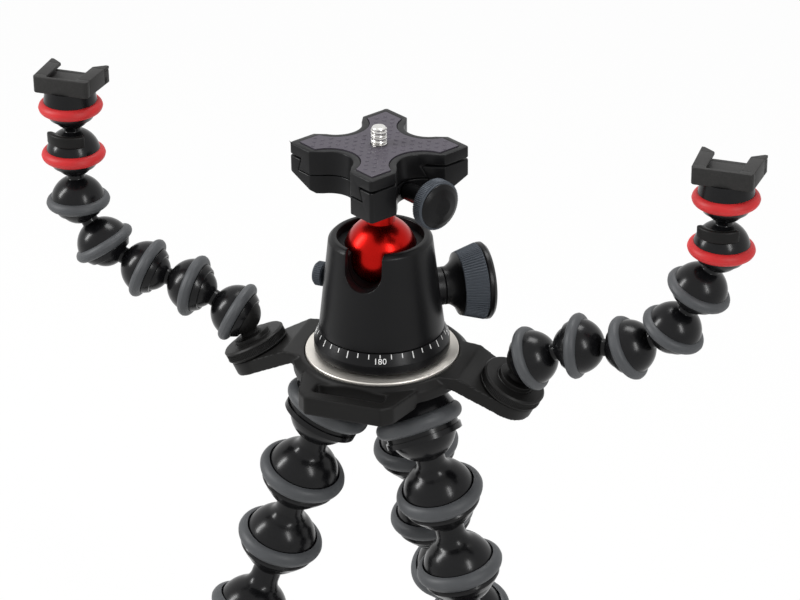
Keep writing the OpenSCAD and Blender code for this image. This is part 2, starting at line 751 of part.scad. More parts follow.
module arm_shoe(side) {
    front = side == 0 ? 180 : 0;
    shoulder = arm_ring_up + arm_ring_t;
    arm_frame(side, arm_count - 1) {
        color([0.06, 0.06, 0.07]) difference() {
            union() {
                rotate_extrude() {
                    arm_collar_shape();
                    polygon([[0, shoulder], [arm_dome_r, shoulder], [arm_dome_r - 1.2, shoe_z + 1], [0, shoe_z + 1]]);
                }
                rotate([0, 0, front]) {
                    translate([-shoe_w / 2, -shoe_d / 2, shoe_z]) cube([shoe_w, shoe_d, shoe_t]);
                    translate([-shoe_w / 2, 0, shoe_z + shoe_t]) shoe_rail();
                    translate([rail_gap / 2, 0, shoe_z + shoe_t]) shoe_rail();
                }
            }
            sphere(r = arm_cavity_r);
            rotate([0, 0, front]) translate([0, shoe_wall, shoe_z + shoe_t - foot_slot_h]) {
                translate([-foot_slot_w / 2, -shoe_d / 2, 0]) cube([foot_slot_w, shoe_d + 1, foot_slot_h]);
                translate([-rail_gap / 2, -shoe_d / 2, 0]) cube([rail_gap, shoe_d + 1, far]);
            }
        }
        arm_ring([0.86, 0.2, 0.2]);
    }
}

camera_screw();
quick_release_plate();
plate_pad();
clamp_body();
clamp_jaw();
clamp_knob();
clamp_knob_grip();
ball_stem();
ball_cup();
head_housing();
lock_knob();
lock_knob_grip();
lock_shaft();
pan_knob();
pan_base();
head_bolt();
platform();
rig_bracket();
leg_hub();
hub_rings();
for (side = [0, 1]) {
    arm_wheel(side);
    for (k = [1 : arm_count - 2])
        arm_link(side, k - 1);
    arm_end_link(side);
    arm_shoe(side);
}
for (leg = [0, 1, 2]) {
    for (k = [1 : leg_links])
        leg_link(leg, k - 1);
    leg_foot(leg);
}
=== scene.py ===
"""Looks of a flexible-leg tripod: a ball head on ball-and-socket legs, with two jointed arms."""

import json
import math

import bmesh
import bpy
import numpy as np
from mathutils import Matrix, Vector


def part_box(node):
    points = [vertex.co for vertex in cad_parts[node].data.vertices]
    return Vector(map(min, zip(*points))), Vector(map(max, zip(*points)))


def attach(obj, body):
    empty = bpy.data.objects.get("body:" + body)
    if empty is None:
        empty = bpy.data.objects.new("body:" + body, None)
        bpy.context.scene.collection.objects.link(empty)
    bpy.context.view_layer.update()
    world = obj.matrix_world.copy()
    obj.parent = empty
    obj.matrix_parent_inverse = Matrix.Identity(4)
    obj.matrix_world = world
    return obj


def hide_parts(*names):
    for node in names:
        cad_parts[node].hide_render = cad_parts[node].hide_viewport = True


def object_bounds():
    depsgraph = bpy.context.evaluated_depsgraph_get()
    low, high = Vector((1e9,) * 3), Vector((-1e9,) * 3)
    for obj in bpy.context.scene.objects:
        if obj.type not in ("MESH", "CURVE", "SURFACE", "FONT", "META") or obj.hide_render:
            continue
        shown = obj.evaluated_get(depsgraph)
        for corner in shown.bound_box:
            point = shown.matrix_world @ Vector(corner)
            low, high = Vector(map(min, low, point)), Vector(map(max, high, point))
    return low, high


bl_info = {
    "name": "Flexible-leg tripod",
    "version": (1, 0, 0),
    "blender": (4, 5, 0),
    "location": "View3D > Sidebar > Tripod",
    "description": "Dresses the tripod's frame with its mouldings, grips, scale and finishes",
    "category": "Add Mesh",
}

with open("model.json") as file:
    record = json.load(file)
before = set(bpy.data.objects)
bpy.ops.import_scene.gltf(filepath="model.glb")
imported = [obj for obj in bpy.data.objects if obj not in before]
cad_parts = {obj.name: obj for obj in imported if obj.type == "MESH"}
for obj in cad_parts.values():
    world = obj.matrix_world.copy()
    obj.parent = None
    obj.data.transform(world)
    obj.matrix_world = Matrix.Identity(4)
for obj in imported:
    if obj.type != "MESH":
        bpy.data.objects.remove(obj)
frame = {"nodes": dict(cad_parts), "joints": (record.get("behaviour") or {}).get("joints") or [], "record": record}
CAD_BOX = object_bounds()
JOINTS = {joint["name"]: joint for joint in frame["joints"]}
BODY_OF = {node: body for body, nodes in frame["record"]["behaviour"]["bodies"].items() for node in nodes}
MM = 0.001
SIDES = ("left", "right")
LEGS = ("left", "right", "rear")
LEG_LINKS = 7
ARM_LINKS = 7
END_LINK = 6


def joint_place(name):
    """Where a hinge sits at rest."""
    return Vector(JOINTS[name]["pos_m"])


def joint_axis(name):
    """The direction that a joint turns about or slides along."""
    return Vector(JOINTS[name]["axis"]).normalized()


# Sizes and colours that a user would change


def length(name, description, default):
    return bpy.props.FloatProperty(name=name, description=description, default=default, unit="LENGTH", precision=5)


def count(name, description, default):
    return bpy.props.IntProperty(name=name, description=description, default=default, min=3)


def colour(name, description, default):
    return bpy.props.FloatVectorProperty(
        name=name, description=description, default=default, subtype="COLOR", size=3, min=0.0, max=1.0
    )


class TripodSizes(bpy.types.PropertyGroup):
    """Sizes of the dressed pieces, in metres."""

    leg_ball: length("Leg ball", "Radius of a leg link's ball", 14.0 * MM)
    leg_neck: length("Leg neck", "Radius of a leg link's waist", 6.0 * MM)
    leg_ring: length("Leg ring", "Outer radius of a leg's rubber ring", 18.0 * MM)
    leg_ring_section: length("Leg ring section", "Radius of the leg ring's round section", 3.5 * MM)
    arm_ball: length("Arm ball", "Radius of an arm link's ball", 8.6 * MM)
    arm_neck: length("Arm neck", "Radius of an arm link's waist", 3.5 * MM)
    arm_ring: length("Arm ring", "Outer radius of an arm's rubber ring", 13.0 * MM)
    arm_ring_section: length("Arm ring section", "Radius of the arm ring's round section", 2.4 * MM)
    slip: length("Slip", "Play between a ball and its socket", 0.25 * MM)
    bump_step: length("Bump step", "Distance between the pad's bumps", 3.7 * MM)
    bump_radius: length("Bump radius", "Radius of one bump of the pad", 0.95 * MM)
    thread_pitch: length("Thread pitch", "Pitch of the camera screw's thread", 1.27 * MM)
    thread_radius: length("Thread radius", "Outer radius of the camera screw", 3.175 * MM)
    edge: length("Machined edge", "Radius of the broken edges of the metal parts", 0.45 * MM)
    moulded_grain: length("Moulding grain", "Size of the facets of the moulded bracket", 0.55 * MM)
    clamp_ribs: count("Clamp knob ribs", "Ribs round the clamp knob", 84)
    lock_ribs: count("Lock knob ribs", "Ribs round the lock knob", 76)
    pan_ribs: count("Pan knob ribs", "Ribs round the pan knob", 36)
    wheel_ribs: count("Thumb wheel ribs", "Ribs round a thumb wheel", 110)


class TripodColours(bpy.types.PropertyGroup):
    """Colours of the finishes."""

    link: colour("Link", "Gloss plastic of the links", (0.004, 0.004, 0.0045))
    ring: colour("Ring", "Grey rubber of the rings", (0.060, 0.063, 0.067))
    red_ring: colour("Red ring", "Red rubber of the arms' end rings", (0.50, 0.020, 0.022))
    black_metal: colour("Black metal", "Anodised metal of the head", (0.006, 0.006, 0.0065))
    grey_metal: colour("Grey metal", "Ribbed metal of the knobs", (0.060, 0.068, 0.080))
    red_metal: colour("Red metal", "Anodised metal of the ball", (0.42, 0.008, 0.006))
    silver: colour("Silver", "Satin metal of the platform", (0.72, 0.69, 0.64))
    steel: colour("Steel", "Turned steel of the screws", (0.70, 0.69, 0.67))
    pad: colour("Pad", "Rubber of the plate's pad", (0.055, 0.048, 0.062))
    moulding: colour("Moulding", "Satin plastic of the bracket and shoes", (0.007, 0.0068, 0.0066))
    marking: colour("Marking", "White paint of the scale", (0.85, 0.85, 0.84))


# Node trees


class Socket:
    """One socket of a node tree, which takes part in plain expressions."""

    def __init__(self, tree, socket=None):
        self.tree = tree
        self.socket = socket

    def node(self, kind, settings=None, sockets=None, out=0):
        """A new node: its type, its settings, the values or links of its sockets, and the output that is wanted."""
        made = self.tree.nodes.new(kind)
        for name, value in (settings or {}).items():
            setattr(made, name, value)
        for name, value in (sockets or {}).items():
            for link in value if isinstance(value, list) else [value]:
                if isinstance(link, Socket):
                    self.tree.links.new(link.socket, made.inputs[name])
                else:
                    made.inputs[name].default_value = link
        return Socket(self.tree, made.outputs[out])

    def math(self, operation, first, second=0.0):
        return self.node("ShaderNodeMath", {"operation": operation}, {0: first, 1: second})

    def __add__(self, other):
        return self.math("ADD", self, other)

    __radd__ = __add__

    def __sub__(self, other):
        return self.math("SUBTRACT", self, other)

    def __mul__(self, other):
        return self.math("MULTIPLY", self, other)

    __rmul__ = __mul__

    def __truediv__(self, other):
        return self.math("DIVIDE", self, other)

    def mix(self, low, high):
        """A colour between two, with this value as the share of the second."""
        return self.node(
            "ShaderNodeMix",
            {"data_type": "RGBA", "clamp_factor": True},
            {"Factor": self, 6: low, 7: high},
            out=2,
        )


class Finish:
    """A material under construction: its shader, its coordinates and what feeds them."""

    def __init__(self, name, base, roughness, metallic=0.0, **constants):
        self.material = bpy.data.materials.new(name)
        self.material.use_nodes = True
        self.tree = Socket(self.material.node_tree)
        self.shader = self.material.node_tree.nodes["Principled BSDF"]
        self.base = (*base, 1.0)
        self.shader.inputs["Base Color"].default_value = self.base
        self.shader.inputs["Roughness"].default_value = roughness
        self.shader.inputs["Metallic"].default_value = metallic
        for socket, value in constants.items():
            self.shader.inputs[socket.replace("_", " ")].default_value = value
        self.place = self.tree.node("ShaderNodeTexCoord", out="Object")

    def noise(self, per_mm, detail=2.0):
        """Noise with a number of cells to the millimetre."""
        return self.tree.node(
            "ShaderNodeTexNoise",
            None,
            {"Vector": self.place, "Scale": per_mm / MM, "Detail": detail},
        )

    def feed(self, name, value):
        """Link a value to one of the shader's sockets."""
        self.tree.tree.links.new(value.socket, self.shader.inputs[name])

    def shade(self, low, high, mask):
        """Vary the base colour between two strengths of itself."""
        dark = tuple(low * part for part in self.base[:3]) + (1.0,)
        pale = tuple(min(high * part, 1.0) for part in self.base[:3]) + (1.0,)
        self.feed("Base Color", mask.mix(dark, pale))

    def grained(self, low, high, mask, roughness, height, depth):
        """The material with its colour and roughness varied, and raised by a height to a depth in metres."""
        self.shade(low, high, mask)
        self.feed("Roughness", roughness)
        raised = {"Height": height, "Strength": 1.0, "Distance": depth}
        self.feed("Normal", self.tree.node("ShaderNodeBump", None, raised))
        return self.material


def gloss_plastic(colours):
    """Polished black plastic with the faint waves of a moulded skin."""
    made = Finish("gloss_plastic", colours.link, 0.24, Specular_IOR_Level=0.2)
    waves = made.noise(0.12, 1.0)
    haze = made.noise(0.6, 4.0)
    return made.grained(0.75, 1.5, haze, 0.17 + 0.12 * haze, waves, 0.05 * MM)


def rubber(name, tint, speckle=2.2):
    """Matt rubber with a fine grain and a little dust."""
    made = Finish(name, tint, 0.5, Specular_IOR_Level=0.3)
    grain = made.noise(speckle, 3.0)
    cloud = made.noise(0.15, 3.0)
    return made.grained(0.72, 1.3, 0.35 * grain + 0.65 * cloud, 0.40 + 0.18 * cloud, grain, 0.035 * MM)


def anodised(name, tint, roughness, metallic=0.0):
    """Blasted and anodised metal: an even satin with a fine sparkle."""
    made = Finish(name, tint, roughness, metallic, Specular_IOR_Level=0.15)
    grain = made.noise(4.5, 2.0)
    cloud = made.noise(0.08, 2.0)
    return made.grained(0.7, 1.35, 0.6 * grain + 0.4 * cloud, roughness - 0.06 + 0.12 * grain, grain, 0.012 * MM)


def red_ball_metal(colours):
    """Red anodised metal with a fine grain."""
    made = Finish("red_anodised", colours.red_metal, 0.3, 1.0)
    grain = made.noise(3.0, 2.0)
    return made.grained(0.85, 1.12, grain, 0.24 + 0.1 * grain, grain, 0.006 * MM)


def satin_silver(name, tint, roughness):
    """Metal turned on a lathe: fine rings about the upright axis."""
    made = Finish(name, tint, roughness, 1.0)
    flat = made.tree.node(
        "ShaderNodeVectorMath", {"operation": "MULTIPLY"}, {0: made.place, 1: (1.0, 1.0, 0.0)}
    )
    radius = made.tree.node("ShaderNodeVectorMath", {"operation": "LENGTH"}, {0: flat}, out="Value")
    rings = made.tree.node(
        "ShaderNodeTexNoise", {"noise_dimensions": "1D"}, {"W": radius, "Scale": 6.0 / MM, "Detail": 3.0}
    )
    cloud = made.noise(0.1, 2.0)
    return made.grained(0.86, 1.08, 0.5 * rings + 0.5 * cloud, roughness - 0.06 + 0.16 * rings, rings, 0.01 * MM)


def satin_plastic(colours):
    """Moulded plastic with a spark-eroded skin, paler where it is handled."""
    made = Finish("satin_plastic", colours.moulding, 0.42, Specular_IOR_Level=0.15)
    grain = made.noise(3.2, 3.0)
    cloud = made.noise(0.1, 3.0)
    return made.grained(0.75, 1.35, 0.4 * grain + 0.6 * cloud, 0.36 + 0.16 * grain, grain, 0.02 * MM)


def ribbed_plastic(colours):
    """The cold shoes' plastic: the same skin with a coarser grain."""
    made = Finish("shoe_plastic", tuple(2.6 * part for part in colours.moulding), 0.5, Specular_IOR_Level=0.2)
    grain = made.noise(1.6, 4.0)
    return made.grained(0.6, 1.6, grain, 0.4 + 0.25 * grain, grain, 0.06 * MM)


def marking_paint(colours):
    """Printed white paint, a little thin in places."""
    made = Finish("marking_paint", colours.marking, 0.5)
    made.shade(0.8, 1.1, made.noise(2.5, 2.0))
    return made.material


FINISHES = {}


def make_finishes(colours):
    """Every material of the tripod, by name."""
    FINISHES.update(
        gloss_plastic=gloss_plastic(colours),
        ring_rubber=rubber("ring_rubber", colours.ring),
        red_rubber=rubber("red_rubber", colours.red_ring),
        pad_rubber=rubber("pad_rubber", colours.pad, 3.0),
        foot_rubber=rubber("foot_rubber", tuple(0.6 * part for part in colours.ring), 1.4),
        black_anodised=anodised("black_anodised", colours.black_metal, 0.33),
        grey_anodised=anodised("grey_anodised", colours.grey_metal, 0.42, 0.3),
        smooth_black=anodised("smooth_black", tuple(0.8 * part for part in colours.black_metal), 0.3),
        liner=anodised("liner", tuple(0.4 * part for part in colours.black_metal), 0.5),
        red_anodised=red_ball_metal(colours),
        silver=satin_silver("silver", colours.silver, 0.46),
        steel=satin_silver("steel", colours.steel, 0.24),
        satin_plastic=satin_plastic(colours),
        shoe_plastic=ribbed_plastic(colours),
        marking=marking_paint(colours),
    )


# Mesh helpers


def arc(middle, radius, start, stop, steps):
    """Points on an arc in the (radius, height) plane, from one angle to another in degrees."""
    angles = np.radians(np.linspace(start, stop, steps + 1))
    return [(middle[0] + radius * math.cos(a), middle[1] + radius * math.sin(a)) for a in angles]


CORNER_STEPS = 4


def rounded(corners, closed=False):
    """An outline of (radius, height, corner radius) points with every corner turned on its radius."""
    points = []
    last = len(corners) - 1
    for place, (x, z, radius) in enumerate(corners):
        if radius == 0 or (not closed and place in (0, last)):
            points.append((x, z))
            continue
        corner = Vector((x, z))
        back = Vector(corners[place - 1][:2]) - corner
        ahead = Vector(corners[(place + 1) % len(corners)][:2]) - corner
        half = back.angle(ahead) / 2
        reach = min(radius / math.tan(half), 0.48 * min(back.length, ahead.length))
        turn = reach * math.tan(half)
        middle = corner + (back.normalized() + ahead.normalized()).normalized() * (turn / math.sin(half))
        first = corner + back.normalized() * reach - middle
        second = corner + ahead.normalized() * reach - middle
        start = math.atan2(first.y, first.x)
        sweep = (math.atan2(second.y, second.x) - start + math.pi) % (2 * math.pi) - math.pi
        for step in range(CORNER_STEPS + 1):
            angle = start + sweep * step / CORNER_STEPS
            points.append((middle.x + turn * math.cos(angle), middle.y + turn * math.sin(angle)))
    return points


def lathe(outline, closed=False, segments=96):
    """A solid of revolution about Z from (radius, height) points, from axis to axis or as a closed loop."""
    form = bmesh.new()
    loops = []
    for radius, height in outline:
        if radius < 1e-7:
            loops.append([form.verts.new((0.0, 0.0, height))])
        else:
            turns = [2 * math.pi * step / segments for step in range(segments)]
            loops.append([form.verts.new((radius * math.cos(a), radius * math.sin(a), height)) for a in turns])
    pairs = list(zip(loops, loops[1:]))
    if closed:
        pairs.append((loops[-1], loops[0]))
    for low, high in pairs:
        for step in range(segments):
            after = (step + 1) % segments
            face = [low[step % len(low)], low[after % len(low)], high[after % len(high)], high[step % len(high)]]
            face = list(dict.fromkeys(face))
            if len(face) > 2:
                form.faces.new(face)
    bmesh.ops.recalc_face_normals(form, faces=form.faces)
    return form


def prism(outline, low, high):
    """A solid between two heights with the same outline."""
    form = bmesh.new()
    floor = form.faces.new([form.verts.new((x, y, low)) for x, y in outline])
    made = bmesh.ops.extrude_face_region(form, geom=[floor])["geom"]
    for vert in made:
        if isinstance(vert, bmesh.types.BMVert):
            vert.co.z = high
    bmesh.ops.recalc_face_normals(form, faces=form.faces)
    return form


def slab(left, front, right, back, low, high):
    """A square block."""
    return prism([(left, front), (right, front), (right, back), (left, back)], low, high)


SECTOR_STEPS = 24


def sector(outline, half):
    """Part of a ring about Z, from (radius, height) points, to half an angle each side of -Y."""
    form = bmesh.new()
    turns = [math.radians(-90.0 + half * (2 * step / SECTOR_STEPS - 1)) for step in range(SECTOR_STEPS + 1)]
    cuts = [[form.verts.new((r * math.cos(a), r * math.sin(a), z)) for r, z in outline] for a in turns]
    form.faces.new(cuts[0])
    form.faces.new(cuts[-1])
    for first, second in zip(cuts, cuts[1:]):
        for step, vert in enumerate(first):
            after = (step + 1) % len(first)
            form.faces.new([vert, first[after], second[after], second[step]])
    bmesh.ops.recalc_face_normals(form, faces=form.faces)
    return form


def joined(*forms):
    """Several forms as one."""
    whole = forms[0]
    for form in forms[1:]:
        part = bpy.data.meshes.new("part")
        form.to_mesh(part)
        form.free()
        whole.from_mesh(part)
        bpy.data.meshes.remove(part)
    return whole


def upright(origin, axis):
    """A frame at a point with its Z along an axis."""
    return Matrix.Translation(origin) @ axis.to_track_quat("Z", "Y").to_matrix().to_4x4()


SHARP = math.radians(34.0)


def crease(form):
    """Smooth shading with sharp edges where the surface turns by a sharp angle."""
    for face in form.faces:
        face.smooth = True
    for edge in form.edges:
        edge.smooth = len(edge.link_faces) == 2 and edge.calc_face_angle(0.0) < SHARP


def as_mesh(form, name):
    """A finished mesh from a form."""
    crease(form)
    mesh = bpy.data.meshes.new(name)
    form.to_mesh(mesh)
    form.free()
    return mesh


def piece(name, mesh, body, finish, slot, *nodes):
    """A finished piece that rides on a body and stands for some of the frame's nodes."""
    if name in bpy.data.objects:
        raise RuntimeError(f"two pieces are named {name}")
    made = bpy.data.objects.new(name, mesh)
    bpy.context.scene.collection.objects.link(made)
    if not mesh.materials:
        mesh.materials.append(FINISHES[finish])
    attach(made, body)
    if nodes:
        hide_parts(*nodes)
    return made


MERGE = 1e-6


def solid_form(node):
    """The bare shape of one of the frame's nodes, with its corners merged."""
    source, form = bmesh.new(), bmesh.new()
    source.from_mesh(frame["nodes"][node].data)
    bmesh.ops.remove_doubles(source, verts=source.verts, dist=MERGE)
    copies = {vert: form.verts.new(vert.co) for vert in source.verts}
    for face in source.faces:
        form.faces.new([copies[vert] for vert in face.verts])
    source.free()
    return form


def stood_in(form, name):
    """A form as an object that modifiers work on."""
    host = bpy.data.objects.new(name + ".host", bpy.data.meshes.new(name + ".host"))
    form.to_mesh(host.data)
    form.free()
    bpy.context.scene.collection.objects.link(host)
    return host


def flattened(form, angle):
    """Join faces that lie in one plane, within an angle in degrees."""
    bmesh.ops.dissolve_limit(
        form, angle_limit=math.radians(angle), verts=form.verts, edges=form.edges, use_dissolve_boundaries=False
    )


def softened(form, name, edge):
    """A form with flat faces joined up and its edges rounded."""
    flattened(form, 0.6)
    host = stood_in(form, name)
    bevel = host.modifiers.new("edges", "BEVEL")
    bevel.width = edge
    bevel.segments = 3
    bevel.limit_method = "ANGLE"
    bevel.angle_limit = math.radians(28.0)
    bevel.use_clamp_overlap = False
    bevel.miter_outer = "MITER_ARC"
    return baked(host, name)


def moulded(form, name, grain):
    """A form with soft fillets on every edge, inside and out, as a moulding has."""
    host = stood_in(form, name)
    skin = host.modifiers.new("skin", "REMESH")
    skin.mode = "VOXEL"
    skin.voxel_size = grain
    skin.use_smooth_shade = True
    ease = host.modifiers.new("ease", "SMOOTH")
    ease.factor = 0.5
    ease.iterations = 6
    return baked(host, name)


def baked(host, name):
    """The evaluated mesh of a host object, which is then removed."""
    evaluated = host.evaluated_get(bpy.context.evaluated_depsgraph_get())
    mesh = bpy.data.meshes.new_from_object(evaluated)
    mesh.name = name
    old = host.data
    bpy.data.objects.remove(host)
    bpy.data.meshes.remove(old)
    form = bmesh.new()
    form.from_mesh(mesh)
    crease(form)
    form.to_mesh(mesh)
    form.free()
    return mesh


# Geometry trees


class Tree(Socket):
    """A geometry tree with named inputs, which joins what is made to the host and gives it a material."""

    def __init__(self, name, floats, counts=()):
        super().__init__(bpy.data.node_groups.new(name, "GeometryNodeTree"))
        face = self.tree.interface
        kinds = dict.fromkeys(counts, "Int") | dict.fromkeys(floats, "Float")
        for label, kind in {"Geometry": "Geometry", **kinds, "Material": "Material"}.items():
            face.new_socket(label, in_out="INPUT", socket_type="NodeSocket" + kind)
        face.new_socket("Geometry", in_out="OUTPUT", socket_type="NodeSocketGeometry")
        self.entry = self.tree.nodes.new("NodeGroupInput")

    def given(self, *names):
        """One of the tree's inputs, or several."""
        found = [Socket(self.tree, self.entry.outputs[name]) for name in names]
        return found[0] if len(found) == 1 else found

    def vector(self, x=0.0, y=0.0, z=0.0):
        return self.node("ShaderNodeCombineXYZ", None, {0: x, 1: y, 2: z})

    def placed(self, shape, **by):
        """A shape with a Translation, a Rotation or a Scale, each given as x, y and z."""
        moves = {name: self.vector(*values) for name, values in by.items()}
        return self.node("GeometryNodeTransform", None, {"Geometry": shape, **moves})

    def strewn(self, shape, points, **by):
        """A shape on every point."""
        return self.node("GeometryNodeInstanceOnPoints", None, {"Points": points, "Instance": shape, **by})

    def round_axis(self, shape, count, start=0.0, **by):
        """A shape repeated about Z."""
        turn = start + self.node("GeometryNodeInputIndex") * (2 * math.pi) / count
        points = self.node("GeometryNodeMeshLine", {"mode": "OFFSET"}, {"Count": count, "Offset": (0.0, 0.0, 0.0)})
        return self.strewn(shape, points, Rotation=self.vector(0.0, 0.0, turn), **by)

    def close(self, made):
        """Realise what was made, give it the material and join it to the host's own mesh."""
        real = self.node("GeometryNodeRealizeInstances", None, {0: made})
        painted = self.node("GeometryNodeSetMaterial", None, {"Geometry": real, "Material": self.given("Material")})
        whole = self.node("GeometryNodeJoinGeometry", None, {0: [self.given("Geometry"), painted]})
        leave = self.tree.nodes.new("NodeGroupOutput")
        self.tree.links.new(whole.socket, leave.inputs[0])
        return self.tree


def grown(name, form, finish, tree, **values):
    """The mesh that a geometry tree grows on a form."""
    crease(form)
    host = stood_in(form, name)
    host.data.materials.append(FINISHES[finish])
    modifier = host.modifiers.new("grow", "NODES")
    modifier.node_group = tree
    names = {item.name: item.identifier for item in tree.interface.items_tree if item.in_out == "INPUT"}
    for label, value in {**values, "Material": FINISHES[finish]}.items():
        modifier[names[label.replace("_", " ")]] = value
    return baked(host, name)


def rib_ring_tree():
    """Ribs round a cone: each is a ridge with a round back, laid along the cone's side."""
    tree = Tree("Rib ring", ("Low radius", "High radius", "Low height", "High height", "Rib width"), ("Count",))
    low, high, foot, head = tree.given("Low radius", "High radius", "Low height", "High height")
    size = {"Vertices": 8, "Side Segments": 1, "Fill Segments": 1, "Radius": 0.5 * tree.given("Rib width")}
    ridge = tree.node("GeometryNodeMeshCylinder", None, {**size, "Depth": 1.0})
    run, rise = high - low, head - foot
    slant = tree.math("SQRT", run * run + rise * rise)
    stood = tree.placed(ridge, Scale=(1.0, 1.0, slant))
    lean = tree.math("ARCTAN2", run, rise)
    middle = (0.5 * (low + high), 0.0, 0.5 * (foot + head))
    leaned = tree.placed(stood, Rotation=(0.0, lean, 0.0), Translation=middle)
    return tree.close(tree.round_axis(leaned, tree.given("Count")))


ROW_STEP = math.sqrt(3) / 2
BUMP_ROOM = 1.3
BUMP_OVAL = 0.85
RAY_UP = 10.0 * MM


def pad_tree():
    """Rows of round bumps on a pad, where each has room on all sides."""
    tree = Tree("Bumped pad", ("Step", "Bump radius", "Bump height", "Reach", "Height", "Turn"))
    sheet, step, radius = tree.given("Geometry", "Step", "Bump radius")
    across = tree.math("ROUND", tree.given("Reach") / step)
    span = across * step
    grid = tree.node(
        "GeometryNodeMeshGrid",
        None,
        {"Size X": span, "Size Y": span * ROW_STEP, "Vertices X": across + 1.0, "Vertices Y": across + 1.0},
    )
    row = tree.math("MODULO", tree.node("GeometryNodeInputIndex"), across + 1.0)
    shift = tree.math("MODULO", row, 2.0) * step * 0.5
    rows = tree.node("GeometryNodeSetPosition", None, {"Geometry": grid, "Offset": tree.vector(shift)})
    turn, height = tree.given("Turn", "Height")
    laid = tree.placed(rows, Rotation=(0.0, 0.0, turn), Translation=(0.0, 0.0, height))
    spot = tree.node("GeometryNodeInputPosition")
    down = {"Target Geometry": sheet, "Ray Direction": (0.0, 0.0, -1.0), "Ray Length": 5 * RAY_UP}
    kept = 1.0
    for x, y in ((BUMP_ROOM, 0.0), (-BUMP_ROOM, 0.0), (0.0, BUMP_ROOM), (0.0, -BUMP_ROOM)):
        off = tree.vector(x * radius, y * radius, RAY_UP)
        above = tree.node("ShaderNodeVectorMath", {"operation": "ADD"}, {0: spot, 1: off})
        kept = tree.math("MULTIPLY", tree.node("GeometryNodeRaycast", None, {**down, "Source Position": above}), kept)
    ball = tree.node("GeometryNodeMeshUVSphere", None, {"Segments": 10, "Rings": 6, "Radius": 1.0})
    bump = tree.placed(ball, Scale=(radius, radius * BUMP_OVAL, tree.given("Bump height")))
    return tree.close(tree.strewn(bump, laid, Selection=kept))


def thread_tree():
    """A screw thread: a ridge wound up a core."""
    tree = Tree("Screw thread", ("Pitch", "Core radius", "Outer radius", "Low height", "High height"))
    pitch, core, outer, low, high = tree.given("Pitch", "Core radius", "Outer radius", "Low height", "High height")
    depth = outer - core
    middle, rise = core + 0.5 * depth, high - low
    spiral = tree.node(
        "GeometryNodeCurveSpiral",
        None,
        {"Resolution": 40, "Rotations": rise / pitch, "Start Radius": middle, "End Radius": middle, "Height": rise},
    )
    raised = tree.placed(spiral, Translation=(0.0, 0.0, low))
    section = {"Resolution": 6, "Radius": 0.5 * depth}
    ridge = tree.node("GeometryNodeCurvePrimitiveCircle", {"mode": "RADIUS"}, section)
    wound = {"Curve": raised, "Profile Curve": ridge, "Fill Caps": True}
    return tree.close(tree.node("GeometryNodeCurveToMesh", None, wound))


MARK_DEPTH = 0.06 * MM


def tick_tree():
    """Marks round a cone, each a thin bar that lies on the cone's side, with some steps left out."""
    sizes = ("Top radius", "Top height", "Slant", "Bar length", "Bar width", "Start")
    tree = Tree("Scale marks", sizes, ("Count", "Skip every", "Lead"))
    radius, height, slant, bar, width, start = tree.given(*sizes)
    box = tree.node("GeometryNodeMeshCube", None, {"Size": tree.vector(MARK_DEPTH, width, bar)})
    out, down = 0.5 * bar * tree.math("SINE", slant), 0.5 * bar * tree.math("COSINE", slant)
    leaned = tree.placed(box, Rotation=(0.0, -1.0 * slant, 0.0), Translation=(radius + out, 0.0, height - down))
    step = tree.node("GeometryNodeInputIndex") + tree.given("Lead")
    kept = tree.math("GREATER_THAN", tree.math("MODULO", step, tree.given("Skip every")), 0.5)
    return tree.close(tree.round_axis(leaned, tree.given("Count"), start, Selection=kept))


TREES = {}


def grow_tree(name):
    """One of the geometry trees, made once."""
    makers = {"ribs": rib_ring_tree, "pad": pad_tree, "thread": thread_tree, "ticks": tick_tree}
    if name not in TREES:
        TREES[name] = makers[name]()
    return TREES[name]


def moved(mesh, matrix):
    """A mesh put in place."""
    mesh.transform(matrix)
    return mesh


def dress(node, finish, edge):
    """A node's own shape with rounded edges and a finish."""
    mesh = softened(solid_form(node), node, edge)
    return piece(node + "_skin", mesh, BODY_OF[node], finish, finish, node)


def spun(name, outline, stand, body, finish, slot, *nodes, closed=False, segments=96):
    """A turned piece in place."""
    mesh = moved(as_mesh(lathe(outline, closed, segments), name), stand)
    return piece(name, mesh, body, finish, slot, *nodes)


def paint(node, finish):
    """Give one of the frame's nodes a finish."""
    shape = frame["nodes"][node]
    shape.data.materials.clear()
    shape.data.materials.append(FINISHES[finish])


# The tripod's pieces


def bow(start, stop, radius, steps=12):
    """Points on a hollow curve between two points, without the first."""
    start, stop = Vector(start), Vector(stop)
    run = stop - start
    off = math.sqrt(radius**2 - (run.length / 2) ** 2) / run.length
    middle = (start + stop) / 2 + off * Vector((run.y, -run.x))
    first = math.atan2(start.y - middle.y, start.x - middle.x)
    sweep = (math.atan2(stop.y - middle.y, stop.x - middle.x) - first + math.pi) % (2 * math.pi) - math.pi
    angles = [first + sweep * step / steps for step in range(1, steps + 1)]
    return [(middle.x + radius * math.cos(a), middle.y + radius * math.sin(a)) for a in angles]


FILLET_SWEEP = 6.0


